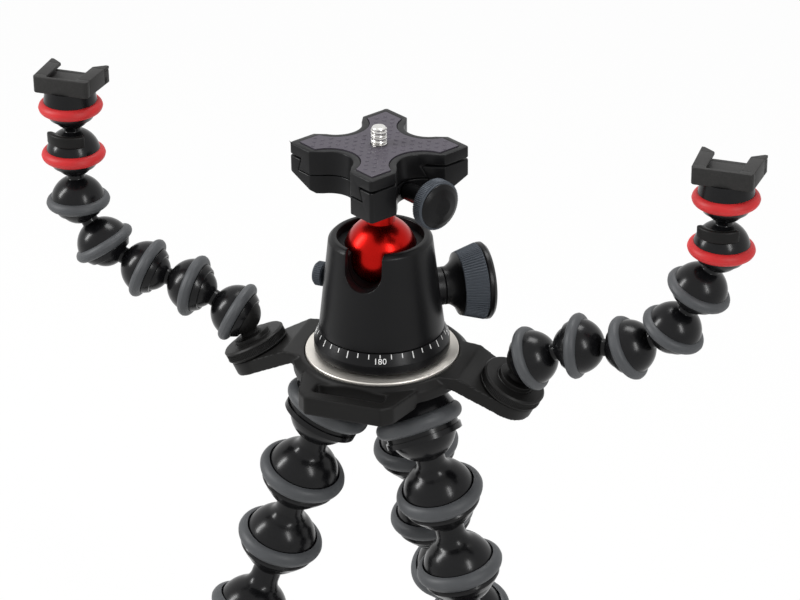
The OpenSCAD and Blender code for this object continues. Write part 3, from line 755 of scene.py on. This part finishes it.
def leg_moulding(sizes):
    """Outline of a leg link: socket at the origin, ball a pitch above."""
    pitch = (joint_place("left_leg_2_bend") - joint_place("left_leg_1_bend")).length
    ball, neck = sizes.leg_ball, sizes.leg_neck
    cavity = ball + sizes.slip
    lip = 5.5 * MM
    collar = cavity + 0.75 * MM
    seat, shoulder = -0.6 * MM, 6.6 * MM
    disc = collar + 0.7 * MM
    mouth = math.degrees(math.asin(-lip / cavity))
    neck_top = pitch - math.sqrt(ball**2 - neck**2)
    inside = arc((0, 0), cavity, 90, mouth, 14)
    collar_line = rounded(
        [
            (inside[-1][0], -lip, 0),
            (inside[-1][0] + 0.45 * MM, -lip, 0.2 * MM),
            (disc, seat - 2.0 * MM, 0.3 * MM),
            (disc, seat - 0.9 * MM, 0.3 * MM),
            (collar, seat, 0.2 * MM),
            (collar, shoulder - 2.5 * MM, 0.2 * MM),
            (collar - 0.8 * MM, shoulder, 0),
        ]
    )
    shell = cavity + 0.9 * MM
    dome_up = 2.0 * MM
    dome = arc((0, dome_up), shell, math.degrees(math.asin((shoulder - dome_up) / shell)), 58, 10)
    flare = bow(dome[-1], (neck, 19.0 * MM), 6.0 * MM, 8)
    foot = math.degrees(math.asin((neck_top - pitch) / ball))
    off_neck = arc((0, pitch), ball, foot + FILLET_SWEEP, 90, 1)[0]
    fillet = rounded([flare[-1] + (0,), (neck, neck_top, 0.7 * MM), off_neck + (0,)])
    ball_line = arc((0, pitch), ball, foot + FILLET_SWEEP, 90, 22)
    return inside + collar_line[1:-1] + dome + flare + fillet[1:-1] + ball_line


ARM_DOME_UP = 1.0 * MM


def arm_socket(sizes):
    """Outline of an arm's socket from its inside to the shoulder over the ring, and the radius of its dome."""
    cavity = sizes.arm_ball + sizes.slip
    lip = 4.0 * MM
    collar = cavity + 0.75 * MM
    seat = -1.3 * MM
    shoulder = 3.7 * MM
    dome = collar + 1.6 * MM
    mouth = math.degrees(math.asin(-lip / cavity))
    inside = arc((0, 0), cavity, 90, mouth, 12)
    skin = rounded(
        [
            (inside[-1][0], -lip, 0),
            (collar - 0.9 * MM, -lip, 0.4 * MM),
            (collar + 0.8 * MM, seat, 0.4 * MM),
            (collar, seat + 0.1 * MM, 0.1 * MM),
            (collar, shoulder, 0.1 * MM),
            (math.sqrt(dome**2 - (shoulder - ARM_DOME_UP) ** 2), shoulder, 0),
        ]
    )
    return inside + skin[1:], dome


def arm_moulding(sizes):
    """Outline of an arm link: socket at the origin, ball a pitch above."""
    pitch = (joint_place("left_arm_2_bend") - joint_place("left_arm_1_bend")).length
    ball, neck = sizes.arm_ball, sizes.arm_neck
    socket, dome = arm_socket(sizes)
    start = math.degrees(math.asin((socket[-1][1] - ARM_DOME_UP) / dome))
    stop = math.degrees(math.acos((neck + 0.8 * MM) / dome))
    dome_top = ARM_DOME_UP + dome * math.sin(math.radians(stop))
    neck_top = pitch - math.sqrt(ball**2 - neck**2)
    waist = rounded(
        [
            (neck + 0.8 * MM, dome_top, 0),
            (neck, dome_top + 0.3 * MM, 0.6 * MM),
            (neck, neck_top, 0.5 * MM),
        ]
    )
    foot = math.degrees(math.asin((neck_top - pitch) / ball))
    dome_line = arc((0, ARM_DOME_UP), dome, start, stop, 16)
    return socket[:-1] + dome_line + waist[1:-1] + arc((0, pitch), ball, foot, 90, 18)


RING_SEAT = 0.8 * MM
ARM_RING_UP = 1.2 * MM
LEG_RING_UP = 3.0 * MM
PARTING_LINE = 0.08 * MM


def ring_section(outer, section, up, bore):
    """Outline of a rubber ring: a round section with a flat bore and a faint parting line."""
    middle = outer - section
    reach = math.degrees(math.acos((bore - middle) / section))
    outline = arc((middle, up), section, -reach, reach, 28)
    crest = len(outline) // 2
    outline[crest] = (outline[crest][0] + PARTING_LINE, outline[crest][1])
    return outline


BUMP_HEIGHT = 0.3 * MM
PAD_REACH = 60.0 * MM
PAD_TURN = math.radians(-15.0)


class TRIPOD_OT_plate(bpy.types.Operator):
    """Quick-release plate with its bumped pad and camera screw"""

    bl_idname = "tripod.plate"
    bl_label = "Quick-release plate"

    def execute(self, context):
        sizes = context.scene.tripod_sizes
        dress("quick_release_plate", "black_anodised", sizes.edge)
        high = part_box("plate_pad")[1]
        sheet = solid_form("plate_pad")
        flattened(sheet, 0.5)
        floor = high.z - BUMP_HEIGHT
        for vert in sheet.verts:
            vert.co.z = min(vert.co.z, floor)
        pad = grown(
            "plate_pad_bumped",
            sheet,
            "pad_rubber",
            grow_tree("pad"),
            Step=sizes.bump_step,
            Bump_radius=sizes.bump_radius,
            Bump_height=BUMP_HEIGHT,
            Reach=PAD_REACH,
            Height=floor,
            Turn=PAD_TURN,
        )
        piece("plate_pad_bumped", pad, "plate", "pad_rubber", "pad_rubber", "plate_pad")
        self.screw(sizes)
        return {"FINISHED"}

    def screw(self, sizes):
        low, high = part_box("camera_screw")
        head_top = low.z + 2.6 * MM
        core = sizes.thread_radius - 0.62 * MM
        outline = rounded(
            [
                (0, low.z, 0),
                (high.x, low.z, 0.4 * MM),
                (high.x, head_top, 0.4 * MM),
                (core, head_top, 0.2 * MM),
                (core, high.z - 0.7 * MM, 0),
                (core + 0.35 * MM, high.z - 0.7 * MM, 0.1 * MM),
                (core - 0.1 * MM, high.z, 0.25 * MM),
                (0, high.z, 0),
            ]
        )
        mesh = grown(
            "camera_screw_thread",
            lathe(outline, segments=64),
            "steel",
            grow_tree("thread"),
            Pitch=sizes.thread_pitch,
            Core_radius=core - 0.1 * MM,
            Outer_radius=sizes.thread_radius,
            Low_height=-1.5 * MM,
            High_height=high.z - 0.9 * MM,
        )
        piece("camera_screw_thread", mesh, "screw", "steel", "steel", "camera_screw")


def along(name):
    """The frame of a hinge: its Z runs along the axis."""
    return upright(joint_place(name), joint_axis(name))


def ribbed(name, outline, joint, finish, slot, node, ribs, closed=False):
    """A turned piece on a hinge's axis, with ribs: their count, width, and (radius, height) at each end."""
    count, width, low, high = ribs
    mesh = grown(
        name,
        lathe(outline, closed),
        finish,
        grow_tree("ribs"),
        Count=count,
        Low_radius=low[0],
        Low_height=low[1],
        High_radius=high[0],
        High_height=high[1],
        Rib_width=width,
    )
    return piece(name, moved(mesh, along(joint)), BODY_OF[node], finish, slot, node)


def turned(name, outline, joint, finish, slot, node):
    """A plain turned piece on a hinge's axis."""
    return spun(name, outline, along(joint), JOINTS[joint]["child"], finish, slot, node)


def mm(*corners):
    """Outline corners given in millimetres."""
    return [tuple(part * MM for part in corner) for corner in corners]


def profile(*corners, closed=False):
    """An outline of (radius, height, corner radius) points in millimetres, with every corner rounded."""
    return rounded(mm(*corners), closed)


class TRIPOD_OT_clamp(bpy.types.Operator):
    """Clamp under the plate, with its sliding jaw and ribbed knob"""

    bl_idname = "tripod.clamp"
    bl_label = "Clamp"

    def execute(self, context):
        sizes = context.scene.tripod_sizes
        for node in ("clamp_body", "clamp_jaw"):
            dress(node, "black_anodised", sizes.edge)
        knob = profile(
            (0, 6, 0), (2.4, 6, 0.3), (2.4, 17.2, 0), (3.6, 17.2, 0.3), (3.6, 29.8, 0.8),
            (7.2, 31.0, 0.4), (8.4, 31.2, 0.2), (8.4, 35.7, 0), (9.0, 35.9, 0.15), (8.8, 36.3, 0.2),
            (7.0, 37.2, 3.0), (3.6, 37.9, 3.0), (0, 38.0, 0),
        )
        turned("clamp_knob_core", knob, "clamp_turn", "smooth_black", "black_anodised", "clamp_knob")
        band = profile(
            (8.45, 31.0, 0), (9.3, 31.0, 0.3), (9.65, 31.6, 0.2),
            (9.65, 35.2, 0.2), (9.3, 35.8, 0.2), (8.45, 35.8, 0),
            closed=True,
        )
        ribs = (sizes.clamp_ribs, 0.56 * MM, (9.7 * MM, 31.5 * MM), (9.7 * MM, 35.3 * MM))
        ribbed("clamp_knob_band", band, "clamp_turn", "grey_anodised", "grey_anodised", "clamp_knob_grip", ribs, True)
        return {"FINISHED"}


class TRIPOD_OT_head(bpy.types.Operator):
    """Ball, liner and housing of the head, with its two knobs"""

    bl_idname = "tripod.head"
    bl_label = "Ball head"

    def execute(self, context):
        sizes = context.scene.tripod_sizes
        dress("head_housing", "black_anodised", sizes.edge)
        paint("ball_cup", "liner")
        paint("ball_stem", "red_anodised")
        paint("lock_shaft", "steel")
        self.lock_knob(sizes)
        self.pan_knob(sizes)
        return {"FINISHED"}

    def lock_knob(self, sizes):
        core = profile((0, 31.75, 0), (5.05, 31.75, 0), (5.05, 25.3, 0), (7.7, 25.3, 0.3), (7.7, 27.1, 0.4))
        core += bow(core[-1], (12.8 * MM, 31.5 * MM), 7.5 * MM, 8)
        core += profile(
            (12.8, 31.7, 0), (11.4, 31.8, 0), (14.1, 41.0, 0), (15.3, 41.1, 0.1), (15.7, 41.5, 0.3),
            (15.7, 42.9, 0.5), (14.4, 44.2, 0.5), (12.4, 44.2, 0.3), (11.6, 43.5, 0.3), (0, 43.5, 0),
        )[1:]
        collar = profile((5.2, 20.0, 0), (7.7, 20.0, 0), (7.7, 25.1, 0.3), (5.2, 25.1, 0.2), closed=True)
        metal = "black_anodised"
        spun("lock_collar", collar, along("lock_turn"), "head", metal, metal, closed=True)
        turned("lock_knob_core", core, "lock_turn", "smooth_black", "black_anodised", "lock_knob")
        band = profile(
            (11.5, 31.75, 0), (12.45, 31.75, 0.2), (12.65, 32.1, 0.1),
            (15.25, 40.7, 0.1), (15.1, 41.05, 0.1), (14.25, 41.05, 0),
            closed=True,
        )
        ribs = (sizes.lock_ribs, 0.78 * MM, (12.62 * MM, 32.1 * MM), (15.22 * MM, 40.7 * MM))
        ribbed("lock_knob_band", band, "lock_turn", "grey_anodised", "grey_anodised", "lock_knob_grip", ribs, True)

    def pan_knob(self, sizes):
        outline = profile(
            (0, 18.7, 0), (2.0, 18.7, 0.3), (2.0, 24.5, 0), (4.3, 24.5, 0.3), (4.7, 25.0, 0.2),
            (4.7, 27.9, 0.2), (4.2, 28.7, 0.4), (3.0, 28.7, 0.2), (2.6, 28.4, 0.2), (0, 28.4, 0),
        )
        ribs = (sizes.pan_ribs, 0.55 * MM, (4.7 * MM, 25.0 * MM), (4.7 * MM, 27.9 * MM))
        ribbed("pan_knob_ribbed", outline, "pan_lock_turn", "grey_anodised", "grey_anodised", "pan_knob", ribs)


PLATFORM_EDGE = 0.4 * MM
SCALE_TURN = math.radians(-71.5)
SCALE_SLANT = math.atan2(2.1, 4.5)
SCALE_TOP = (25.38 * MM, 9.75 * MM)
# Kind, count, steps from one gap to the next, first step and length
TICKS = (
    ("short", 36, 3, 0, 1.85 * MM),
    ("long", 12, 3, 0, 2.8 * MM),
    ("number", 4, 100, 1, 1.15 * MM),
)
TICK_WIDTH = 0.36 * MM
NUMBER_HEIGHT = 2.3 * MM
NUMBER_DROP = 1.4 * MM
NUMBER_STRETCH = 1.06
NUMBER_LIFT = 0.02 * MM


class TRIPOD_OT_pan_base(bpy.types.Operator):
    """Pan base with its scale, on the silver platform"""

    bl_idname = "tripod.pan_base"
    bl_label = "Pan base"

    def execute(self, context):
        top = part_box("platform")[1].z
        outline = profile(
            (4.9, 0, 0), (22, 0, 0), (22, 1.6, 0.3), (27.1, 1.6, 0.2), (27.4, 1.9, 0.2),
            (27.4, 5.4, 0.3), (25.3, 9.9, 0.15), (25.0, 10.0, 0.1), (4.9, 10.0, 0),
            closed=True,
        )
        stand, metal = Matrix.Translation((0, 0, top)), "black_anodised"
        spun("pan_base_turned", outline, stand, "base", metal, metal, "pan_base", closed=True, segments=128)
        dress("platform", "silver", PLATFORM_EDGE)
        paint("head_bolt", "steel")
        self.scale(top)
        return {"FINISHED"}

    def scale(self, top):
        """Ticks every ten degrees, and the numbers."""
        form = bmesh.new()
        for kind, count, skip, lead, bar in TICKS:
            mesh = grown(
                "ticks_" + kind,
                bmesh.new(),
                "marking",
                grow_tree("ticks"),
                Count=count,
                Skip_every=skip,
                Lead=lead,
                Top_radius=SCALE_TOP[0],
                Top_height=SCALE_TOP[1],
                Slant=SCALE_SLANT,
                Bar_length=bar,
                Bar_width=TICK_WIDTH,
                Start=SCALE_TURN,
            )
            form.from_mesh(mesh)
            bpy.data.meshes.remove(mesh)
        for step, digits in enumerate(("180", "270", "0", "90")):
            mesh = self.number(digits, SCALE_TURN + step * math.pi / 2)
            form.from_mesh(mesh)
            bpy.data.meshes.remove(mesh)
        mesh = as_mesh(form, "scale_marks")
        piece("scale_marks", moved(mesh, Matrix.Translation((0, 0, top))), "base", "marking", "silver")

    def number(self, digits, turn):
        """A number printed on the cone under its tick."""
        curve = bpy.data.curves.new("number", "FONT")
        curve.body = digits
        curve.align_x = "CENTER"
        curve.resolution_u = 3
        curve.extrude = 0.01
        host = bpy.data.objects.new("number", curve)
        bpy.context.scene.collection.objects.link(host)
        mesh = bpy.data.meshes.new_from_object(host.evaluated_get(bpy.context.evaluated_depsgraph_get()))
        bpy.data.objects.remove(host)
        bpy.data.curves.remove(curve)
        tall = max(vert.co.y for vert in mesh.vertices)
        unit = NUMBER_HEIGHT / tall
        for vert in mesh.vertices:
            x, y, lift = vert.co * unit
            down = NUMBER_DROP + NUMBER_HEIGHT - y
            radius = SCALE_TOP[0] + down * math.sin(SCALE_SLANT) + lift + NUMBER_LIFT
            angle = turn + NUMBER_STRETCH * x / radius
            height = SCALE_TOP[1] - down * math.cos(SCALE_SLANT)
            vert.co = (radius * math.cos(angle), radius * math.sin(angle), height)
        return mesh


class TRIPOD_OT_bracket(bpy.types.Operator):
    """Bracket with its strap slot, and the two thumb wheels"""

    bl_idname = "tripod.bracket"
    bl_label = "Arm bracket"

    def execute(self, context):
        sizes = context.scene.tripod_sizes
        skin = moulded(solid_form("rig_bracket"), "rig_bracket", sizes.moulded_grain)
        piece("rig_bracket_moulded", skin, "base", "satin_plastic", "black_plastic", "rig_bracket")
        for side in SIDES:
            self.wheel(side, sizes)
        return {"FINISHED"}

    def wheel(self, side, sizes):
        ball, neck, high = sizes.arm_ball, sizes.arm_neck, 16.5 * MM
        low = high - math.sqrt(ball**2 - neck**2)
        outline = profile(
            (0, -9.2, 0), (3.0, -9.2, 0.4), (3.0, 0.2, 0), (12.7, 0.2, 0.3), (13.3, 0.8, 0.2),
            (13.3, 1.3, 0.15), (12.9, 1.45, 0.1), (12.9, 3.9, 0.1), (13.3, 4.05, 0.15),
            (13.3, 4.5, 0.2), (12.6, 5.2, 0.3), (8.3, 5.2, 0.2), (7.9, 5.0, 0.1), (7.5, 5.2, 0.1),
            (7.5, 7.0, 0.3), (4.6, 7.2, 0.6), (3.5, low / MM - 0.2, 0.3),
        )
        outline += arc((0, high), ball, math.degrees(math.asin((low - high) / ball)) + 2, 90, 20)
        ribs = (sizes.wheel_ribs, 0.52 * MM, (12.92 * MM, 1.4 * MM), (12.92 * MM, 3.95 * MM))
        node = side + "_arm_wheel"
        ribbed(node + "_knurled", outline, side + "_wheel_turn", "satin_plastic", "black_plastic", node, ribs)


ARM_SEGMENTS = 80
SHOE_LOW, SHOE_FLOOR, SHOE_LIP, SHOE_TOP = 9.0 * MM, 12.5 * MM, 14.6 * MM, 16.0 * MM
SHOE_FRONT, SHOE_BACK = -9.0 * MM, 11.0 * MM
SHOE_HALF, POCKET_HALF, GAP_HALF = 11.9 * MM, 9.4 * MM, 6.5 * MM
SHOE_WALL, SHOE_BEND, SHOE_TOE = 1.6 * MM, 3.2 * MM, 4.0 * MM
SHOE_CORNER = 3.0 * MM
SHOE_SPLAY = math.tan(math.radians(2.7))
SHOE_EDGE = 0.35 * MM
OVERLAP = 0.1 * MM
PLINTH_TOP = mm((9.9, 9.3), (0, 9.3))
CLIP_OUTLINE = mm((4.0, 8.6), (7.4, 8.0), (10.5, 7.4), (10.5, 12.3), (8.6, 12.3), (4.0, 9.6))
CLIP_HALF = 54.0
CLIP_EDGE = 0.7 * MM


def mirrored(points):
    """Points for the right half and, in turn, the left half of an outline."""
    return points + [(-x, *rest) for x, *rest in reversed(points)]


def shoe_tip(turn):
    """The back end of a rail: a lip that is rounded off, and the wall under it."""
    start = SHOE_BACK - SHOE_TOE - OVERLAP
    plan = rounded(
        [
            (GAP_HALF, start, 0),
            (SHOE_HALF, start, 0),
            (SHOE_HALF, SHOE_BACK, 0.3 * MM),
            (SHOE_HALF - 1.2 * MM, SHOE_BACK, 0.5 * MM),
            (GAP_HALF, start + 0.8 * MM, 1.5 * MM),
        ],
        closed=True,
    )
    left, right = sorted((turn * POCKET_HALF, turn * SHOE_HALF))
    wall = slab(left, start, right, SHOE_BACK - 0.3 * MM, SHOE_LOW, SHOE_LIP)
    return prism([(turn * x, y) for x, y in plan], SHOE_LIP, SHOE_TOP), wall


def cold_shoe():
    """A tray with two rails that lip over its pocket, and a wall across the front."""
    section = mirrored(
        [
            (SHOE_HALF, SHOE_LOW),
            (SHOE_HALF, SHOE_TOP),
            (GAP_HALF, SHOE_TOP),
            (GAP_HALF, SHOE_LIP),
            (POCKET_HALF, SHOE_LIP),
            (POCKET_HALF, SHOE_FLOOR),
        ]
    )
    rails = prism(section, SHOE_FRONT + SHOE_BEND, SHOE_BACK - SHOE_TOE)
    for vert in rails.verts:
        vert.co = (vert.co.x, vert.co.z, vert.co.y)
    bmesh.ops.recalc_face_normals(rails, faces=rails.faces)
    near, inner = SHOE_FRONT + SHOE_BEND + OVERLAP, SHOE_FRONT + SHOE_WALL
    bar = [(GAP_HALF, inner, 0), (GAP_HALF, near, 0), (SHOE_HALF, near, 0), (SHOE_HALF, SHOE_FRONT, SHOE_CORNER)]
    shoe = joined(
        rails,
        prism(rounded(mirrored(bar), closed=True), SHOE_LOW, SHOE_TOP),
        slab(-GAP_HALF, inner, GAP_HALF, near, SHOE_LOW, SHOE_FLOOR),
        slab(-SHOE_HALF, SHOE_BACK - SHOE_TOE - OVERLAP, SHOE_HALF, -SHOE_FRONT, SHOE_LOW, SHOE_FLOOR),
        *shoe_tip(-1),
        *shoe_tip(1),
    )
    for vert in shoe.verts:
        vert.co.x *= 1 + SHOE_SPLAY * (vert.co.y - SHOE_FRONT) / SHOE_HALF
    return shoe


class TRIPOD_OT_arms(bpy.types.Operator):
    """Ball-and-socket arms with their rings and cold shoes"""

    bl_idname = "tripod.arms"
    bl_label = "Arms"

    def execute(self, context):
        sizes = context.scene.tripod_sizes
        bore = sizes.arm_ball + sizes.slip + RING_SEAT
        self.section = ring_section(sizes.arm_ring, sizes.arm_ring_section, ARM_RING_UP, bore)
        self.moulding, self.socket = arm_moulding(sizes), arm_socket(sizes)[0]
        for side in SIDES:
            for link in range(1, ARM_LINKS + 1):
                self.link(side, link)
        return {"FINISHED"}

    def link(self, side, link):
        body, red, last = f"{side}_arm_{link}", link >= END_LINK, link == ARM_LINKS
        place = joint_place(body + "_bend")
        above = place + Vector((0, 0, 1)) if last else joint_place(f"{side}_arm_{link + 1}_bend")
        stand = upright(place, above - place)
        slot = "end_links" if red else "gloss_links"
        if last:
            self.shoe(body, place, stand, slot, f"{side}_arm_shoe")
        else:
            node = f"{side}_arm_end_link" if red else f"{side}_arm_link_{link}"
            spun(body + "_moulding", self.moulding, stand, body, "gloss_plastic", slot, node, segments=ARM_SEGMENTS)
        if link == END_LINK:
            clip = softened(sector(CLIP_OUTLINE, CLIP_HALF), body + "_clip", CLIP_EDGE)
            piece(body + "_clip", moved(clip, Matrix.Translation(place)), body, "satin_plastic", slot)
        rubber, slot = ("red_rubber", slot) if red else ("ring_rubber", "ring_rubber")
        spun(body + "_ring", self.section, stand, body, rubber, slot, closed=True, segments=ARM_SEGMENTS)

    def shoe(self, body, place, stand, slot, node):
        """A socket that widens into a plinth, with the cold shoe on top."""
        plinth = self.socket + PLINTH_TOP
        spun(body + "_plinth", plinth, stand, body, "gloss_plastic", slot, segments=ARM_SEGMENTS)
        shoe = softened(cold_shoe(), node, SHOE_EDGE)
        piece(body + "_cold_shoe", moved(shoe, Matrix.Translation(place)), body, "shoe_plastic", slot, node)


class TRIPOD_OT_legs(bpy.types.Operator):
    """Leg hub, ball-and-socket legs with their rings, and rubber feet"""

    bl_idname = "tripod.legs"
    bl_label = "Legs"

    def execute(self, context):
        sizes = context.scene.tripod_sizes
        paint("leg_hub", "gloss_plastic")
        paint("hub_rings", "ring_rubber")
        outline = leg_moulding(sizes)
        bore = sizes.leg_ball + sizes.slip + RING_SEAT
        section = ring_section(sizes.leg_ring, sizes.leg_ring_section, LEG_RING_UP, bore)
        for leg in LEGS:
            for link in range(1, LEG_LINKS + 1):
                body = f"{leg}_leg_{link}"
                ball = joint_place(body + "_bend")
                below = f"{leg}_leg_{link + 1}_bend" if link < LEG_LINKS else f"{leg}_foot_bend"
                socket = joint_place(below)
                stand = upright(socket, ball - socket)
                node = f"{leg}_leg_link_{link}"
                spun(body + "_moulding", outline, stand, body, "gloss_plastic", "gloss_links", node)
                spun(body + "_ring", section, stand, body, "ring_rubber", "ring_rubber", closed=True)
            self.foot(leg, sizes)
        return {"FINISHED"}

    def foot(self, leg, sizes):
        """A rubber foot with a ball on top, grooves round its flank and rings under its sole."""
        ball, neck = sizes.leg_ball, sizes.leg_neck
        start = -math.degrees(math.acos(neck / ball))
        flank = profile(
            (6.0, -12.8, 0), (6.0, -16.0, 1.0), (9.0, -17.2, 2.0), (13.4, -22.8, 1.2),
            (13.4, -23.6, 0.2), (12.9, -23.9, 0.2), (12.9, -24.4, 0.2), (14.0, -24.8, 0.3),
            (14.0, -26.0, 0.3), (13.3, -26.3, 0.2), (13.3, -26.8, 0.2), (13.7, -27.2, 0.3),
            (13.0, -28.8, 0.8), (10.4, -31.8, 0.8), (8.8, -32.0, 0.2), (8.4, -31.3, 0.2),
            (7.4, -31.3, 0.2), (7.0, -32.0, 0.2), (4.6, -32.0, 0.2), (4.2, -31.3, 0.2),
            (3.2, -31.3, 0.2), (2.8, -32.0, 0.2), (0, -32.0, 0),
        )
        outline = arc((0, 0), ball, 90, start, 24) + flank[1:]
        stand, finish = Matrix.Translation(joint_place(leg + "_foot_bend")), "foot_rubber"
        spun(leg + "_foot_rubber", outline, stand, leg + "_foot", finish, finish, leg + "_leg_foot", segments=72)


# Stage

CAMERA_TURN = math.radians(20.0)
CAMERA_PITCH = math.radians(27.13)
CAMERA_ROLL = math.radians(0.678)
CAMERA_DISTANCE = 1199.8 * MM
CAMERA_TARGET = Vector((7.444 * MM, 0.0, 21.08 * MM))
CAMERA_LENS = 135.0
CAMERA_SENSOR = 36.0
CAMERA_NEAR = 10.0 * MM
FLOOR_HALF = 8.0
FLOOR_GLOW = 0.94
WORLD_FILL = 0.38
LIGHTS_AIM = Vector((0.0, 0.0, -0.10))
SOFT_BOXES = (
    ("key_box", (-1.15, -0.45, 0.62), 0.22, 0.80, 16.0),
    ("fill_box", (1.05, -0.75, 0.62), 0.18, 0.70, 9.0),
    ("top_box", (0.05, 0.45, 1.15), 0.60, 0.45, 9.0),
)


class TRIPOD_OT_stage(bpy.types.Operator):
    """Pale floor, soft lights and the camera"""

    bl_idname = "tripod.stage"
    bl_label = "Stage"

    def execute(self, context):
        self.camera(context)
        self.floor(context)
        self.world(context)
        self.lights(context)
        context.scene.view_settings.view_transform = "Standard"
        return {"FINISHED"}

    def camera(self, context):
        turn = Matrix.Rotation(CAMERA_TURN, 3, "Z")
        ahead = turn @ Vector((0, math.cos(CAMERA_PITCH), -math.sin(CAMERA_PITCH)))
        right = turn @ Vector((1, 0, 0))
        down = ahead.cross(right)
        across = math.cos(CAMERA_ROLL) * right + math.sin(CAMERA_ROLL) * down
        below = math.cos(CAMERA_ROLL) * down - math.sin(CAMERA_ROLL) * right
        platform_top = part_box("platform")[1].z
        place = turn @ CAMERA_TARGET + Vector((0, 0, platform_top)) - CAMERA_DISTANCE * ahead
        data = bpy.data.cameras.new("photo_camera")
        data.lens = CAMERA_LENS
        data.sensor_fit = "HORIZONTAL"
        data.sensor_width = CAMERA_SENSOR
        data.clip_start = CAMERA_NEAR
        camera = bpy.data.objects.new("photo_camera", data)
        camera.matrix_world = Matrix.Translation(place) @ Matrix((across, -below, -ahead)).transposed().to_4x4()
        context.scene.collection.objects.link(camera)
        context.scene.camera = camera

    def floor(self, context):
        form = bmesh.new()
        bmesh.ops.create_grid(form, x_segments=2, y_segments=2, size=FLOOR_HALF)
        mesh = bpy.data.meshes.new("floor")
        form.to_mesh(mesh)
        form.free()
        mesh.transform(Matrix.Translation((0, 0, CAD_BOX[0].z)))
        material = bpy.data.materials.new("floor")
        material.use_nodes = True
        tree = Socket(material.node_tree)
        matt = material.node_tree.nodes["Principled BSDF"]
        matt.inputs["Base Color"].default_value = (0.86, 0.86, 0.85, 1.0)
        matt.inputs["Roughness"].default_value = 0.9
        seen = self.seen(tree)
        glow = tree.node("ShaderNodeEmission", None, {"Color": (1, 1, 1, 1), "Strength": 1.0})
        mixed = tree.node(
            "ShaderNodeMixShader", None, {0: FLOOR_GLOW * seen, 1: Socket(tree.tree, matt.outputs[0]), 2: glow}
        )
        out = material.node_tree.nodes["Material Output"]
        tree.tree.links.new(mixed.socket, out.inputs["Surface"])
        mesh.materials.append(material)
        floor = bpy.data.objects.new("floor", mesh)
        context.scene.collection.objects.link(floor)

    def seen(self, tree):
        """One where the camera, a reflection or glass looks at the background."""
        path = tree.node("ShaderNodeLightPath", out="Is Camera Ray")
        rays = path.socket.node.outputs
        shiny = Socket(tree.tree, rays["Is Glossy Ray"])
        clear = Socket(tree.tree, rays["Is Transmission Ray"])
        return tree.math("MAXIMUM", path, tree.math("MAXIMUM", shiny, clear))

    def world(self, context):
        world = bpy.data.worlds.new("studio")
        context.scene.world = world
        world.use_nodes = True
        tree = Socket(world.node_tree)
        back = world.node_tree.nodes["Background"]
        seen = self.seen(tree)
        tree.tree.links.new((WORLD_FILL + (1.0 - WORLD_FILL) * seen).socket, back.inputs["Strength"])
        back.inputs["Color"].default_value = (1, 1, 1, 1)

    def lights(self, context):
        """Soft boxes: name, place, width, height and power."""
        for name, place, width, height, power in SOFT_BOXES:
            data = bpy.data.lights.new(name, "AREA")
            data.shape = "RECTANGLE"
            data.size = width
            data.size_y = height
            data.energy = power
            lamp = bpy.data.objects.new(name, data)
            lamp.matrix_world = upright(Vector(place), Vector(place) - LIGHTS_AIM)
            context.scene.collection.objects.link(lamp)


class TRIPOD_PT_build(bpy.types.Panel):
    """The tripod's pieces, sizes and colours"""

    bl_label = "Flexible-leg tripod"
    bl_idname = "TRIPOD_PT_build"
    bl_space_type = "VIEW_3D"
    bl_region_type = "UI"
    bl_category = "Tripod"

    def draw(self, context):
        for maker in OPERATORS:
            self.layout.operator(maker.bl_idname)
        for group in (context.scene.tripod_sizes, context.scene.tripod_colours):
            for name in group.__annotations__:
                self.layout.prop(group, name)


OPERATORS = (
    TRIPOD_OT_stage,
    TRIPOD_OT_plate,
    TRIPOD_OT_clamp,
    TRIPOD_OT_head,
    TRIPOD_OT_pan_base,
    TRIPOD_OT_bracket,
    TRIPOD_OT_arms,
    TRIPOD_OT_legs,
)
CLASSES = (TripodSizes, TripodColours, *OPERATORS, TRIPOD_PT_build)


def register():
    for kind in CLASSES:
        bpy.utils.register_class(kind)
    bpy.types.Scene.tripod_sizes = bpy.props.PointerProperty(type=TripodSizes)
    bpy.types.Scene.tripod_colours = bpy.props.PointerProperty(type=TripodColours)


def unregister():
    del bpy.types.Scene.tripod_colours
    del bpy.types.Scene.tripod_sizes
    for kind in reversed(CLASSES):
        bpy.utils.unregister_class(kind)


def main():
    register()
    make_finishes(bpy.context.scene.tripod_colours)
    for maker in OPERATORS:
        area, name = maker.bl_idname.split(".")
        getattr(getattr(bpy.ops, area), name)()


if __name__ == "__main__":
    main()
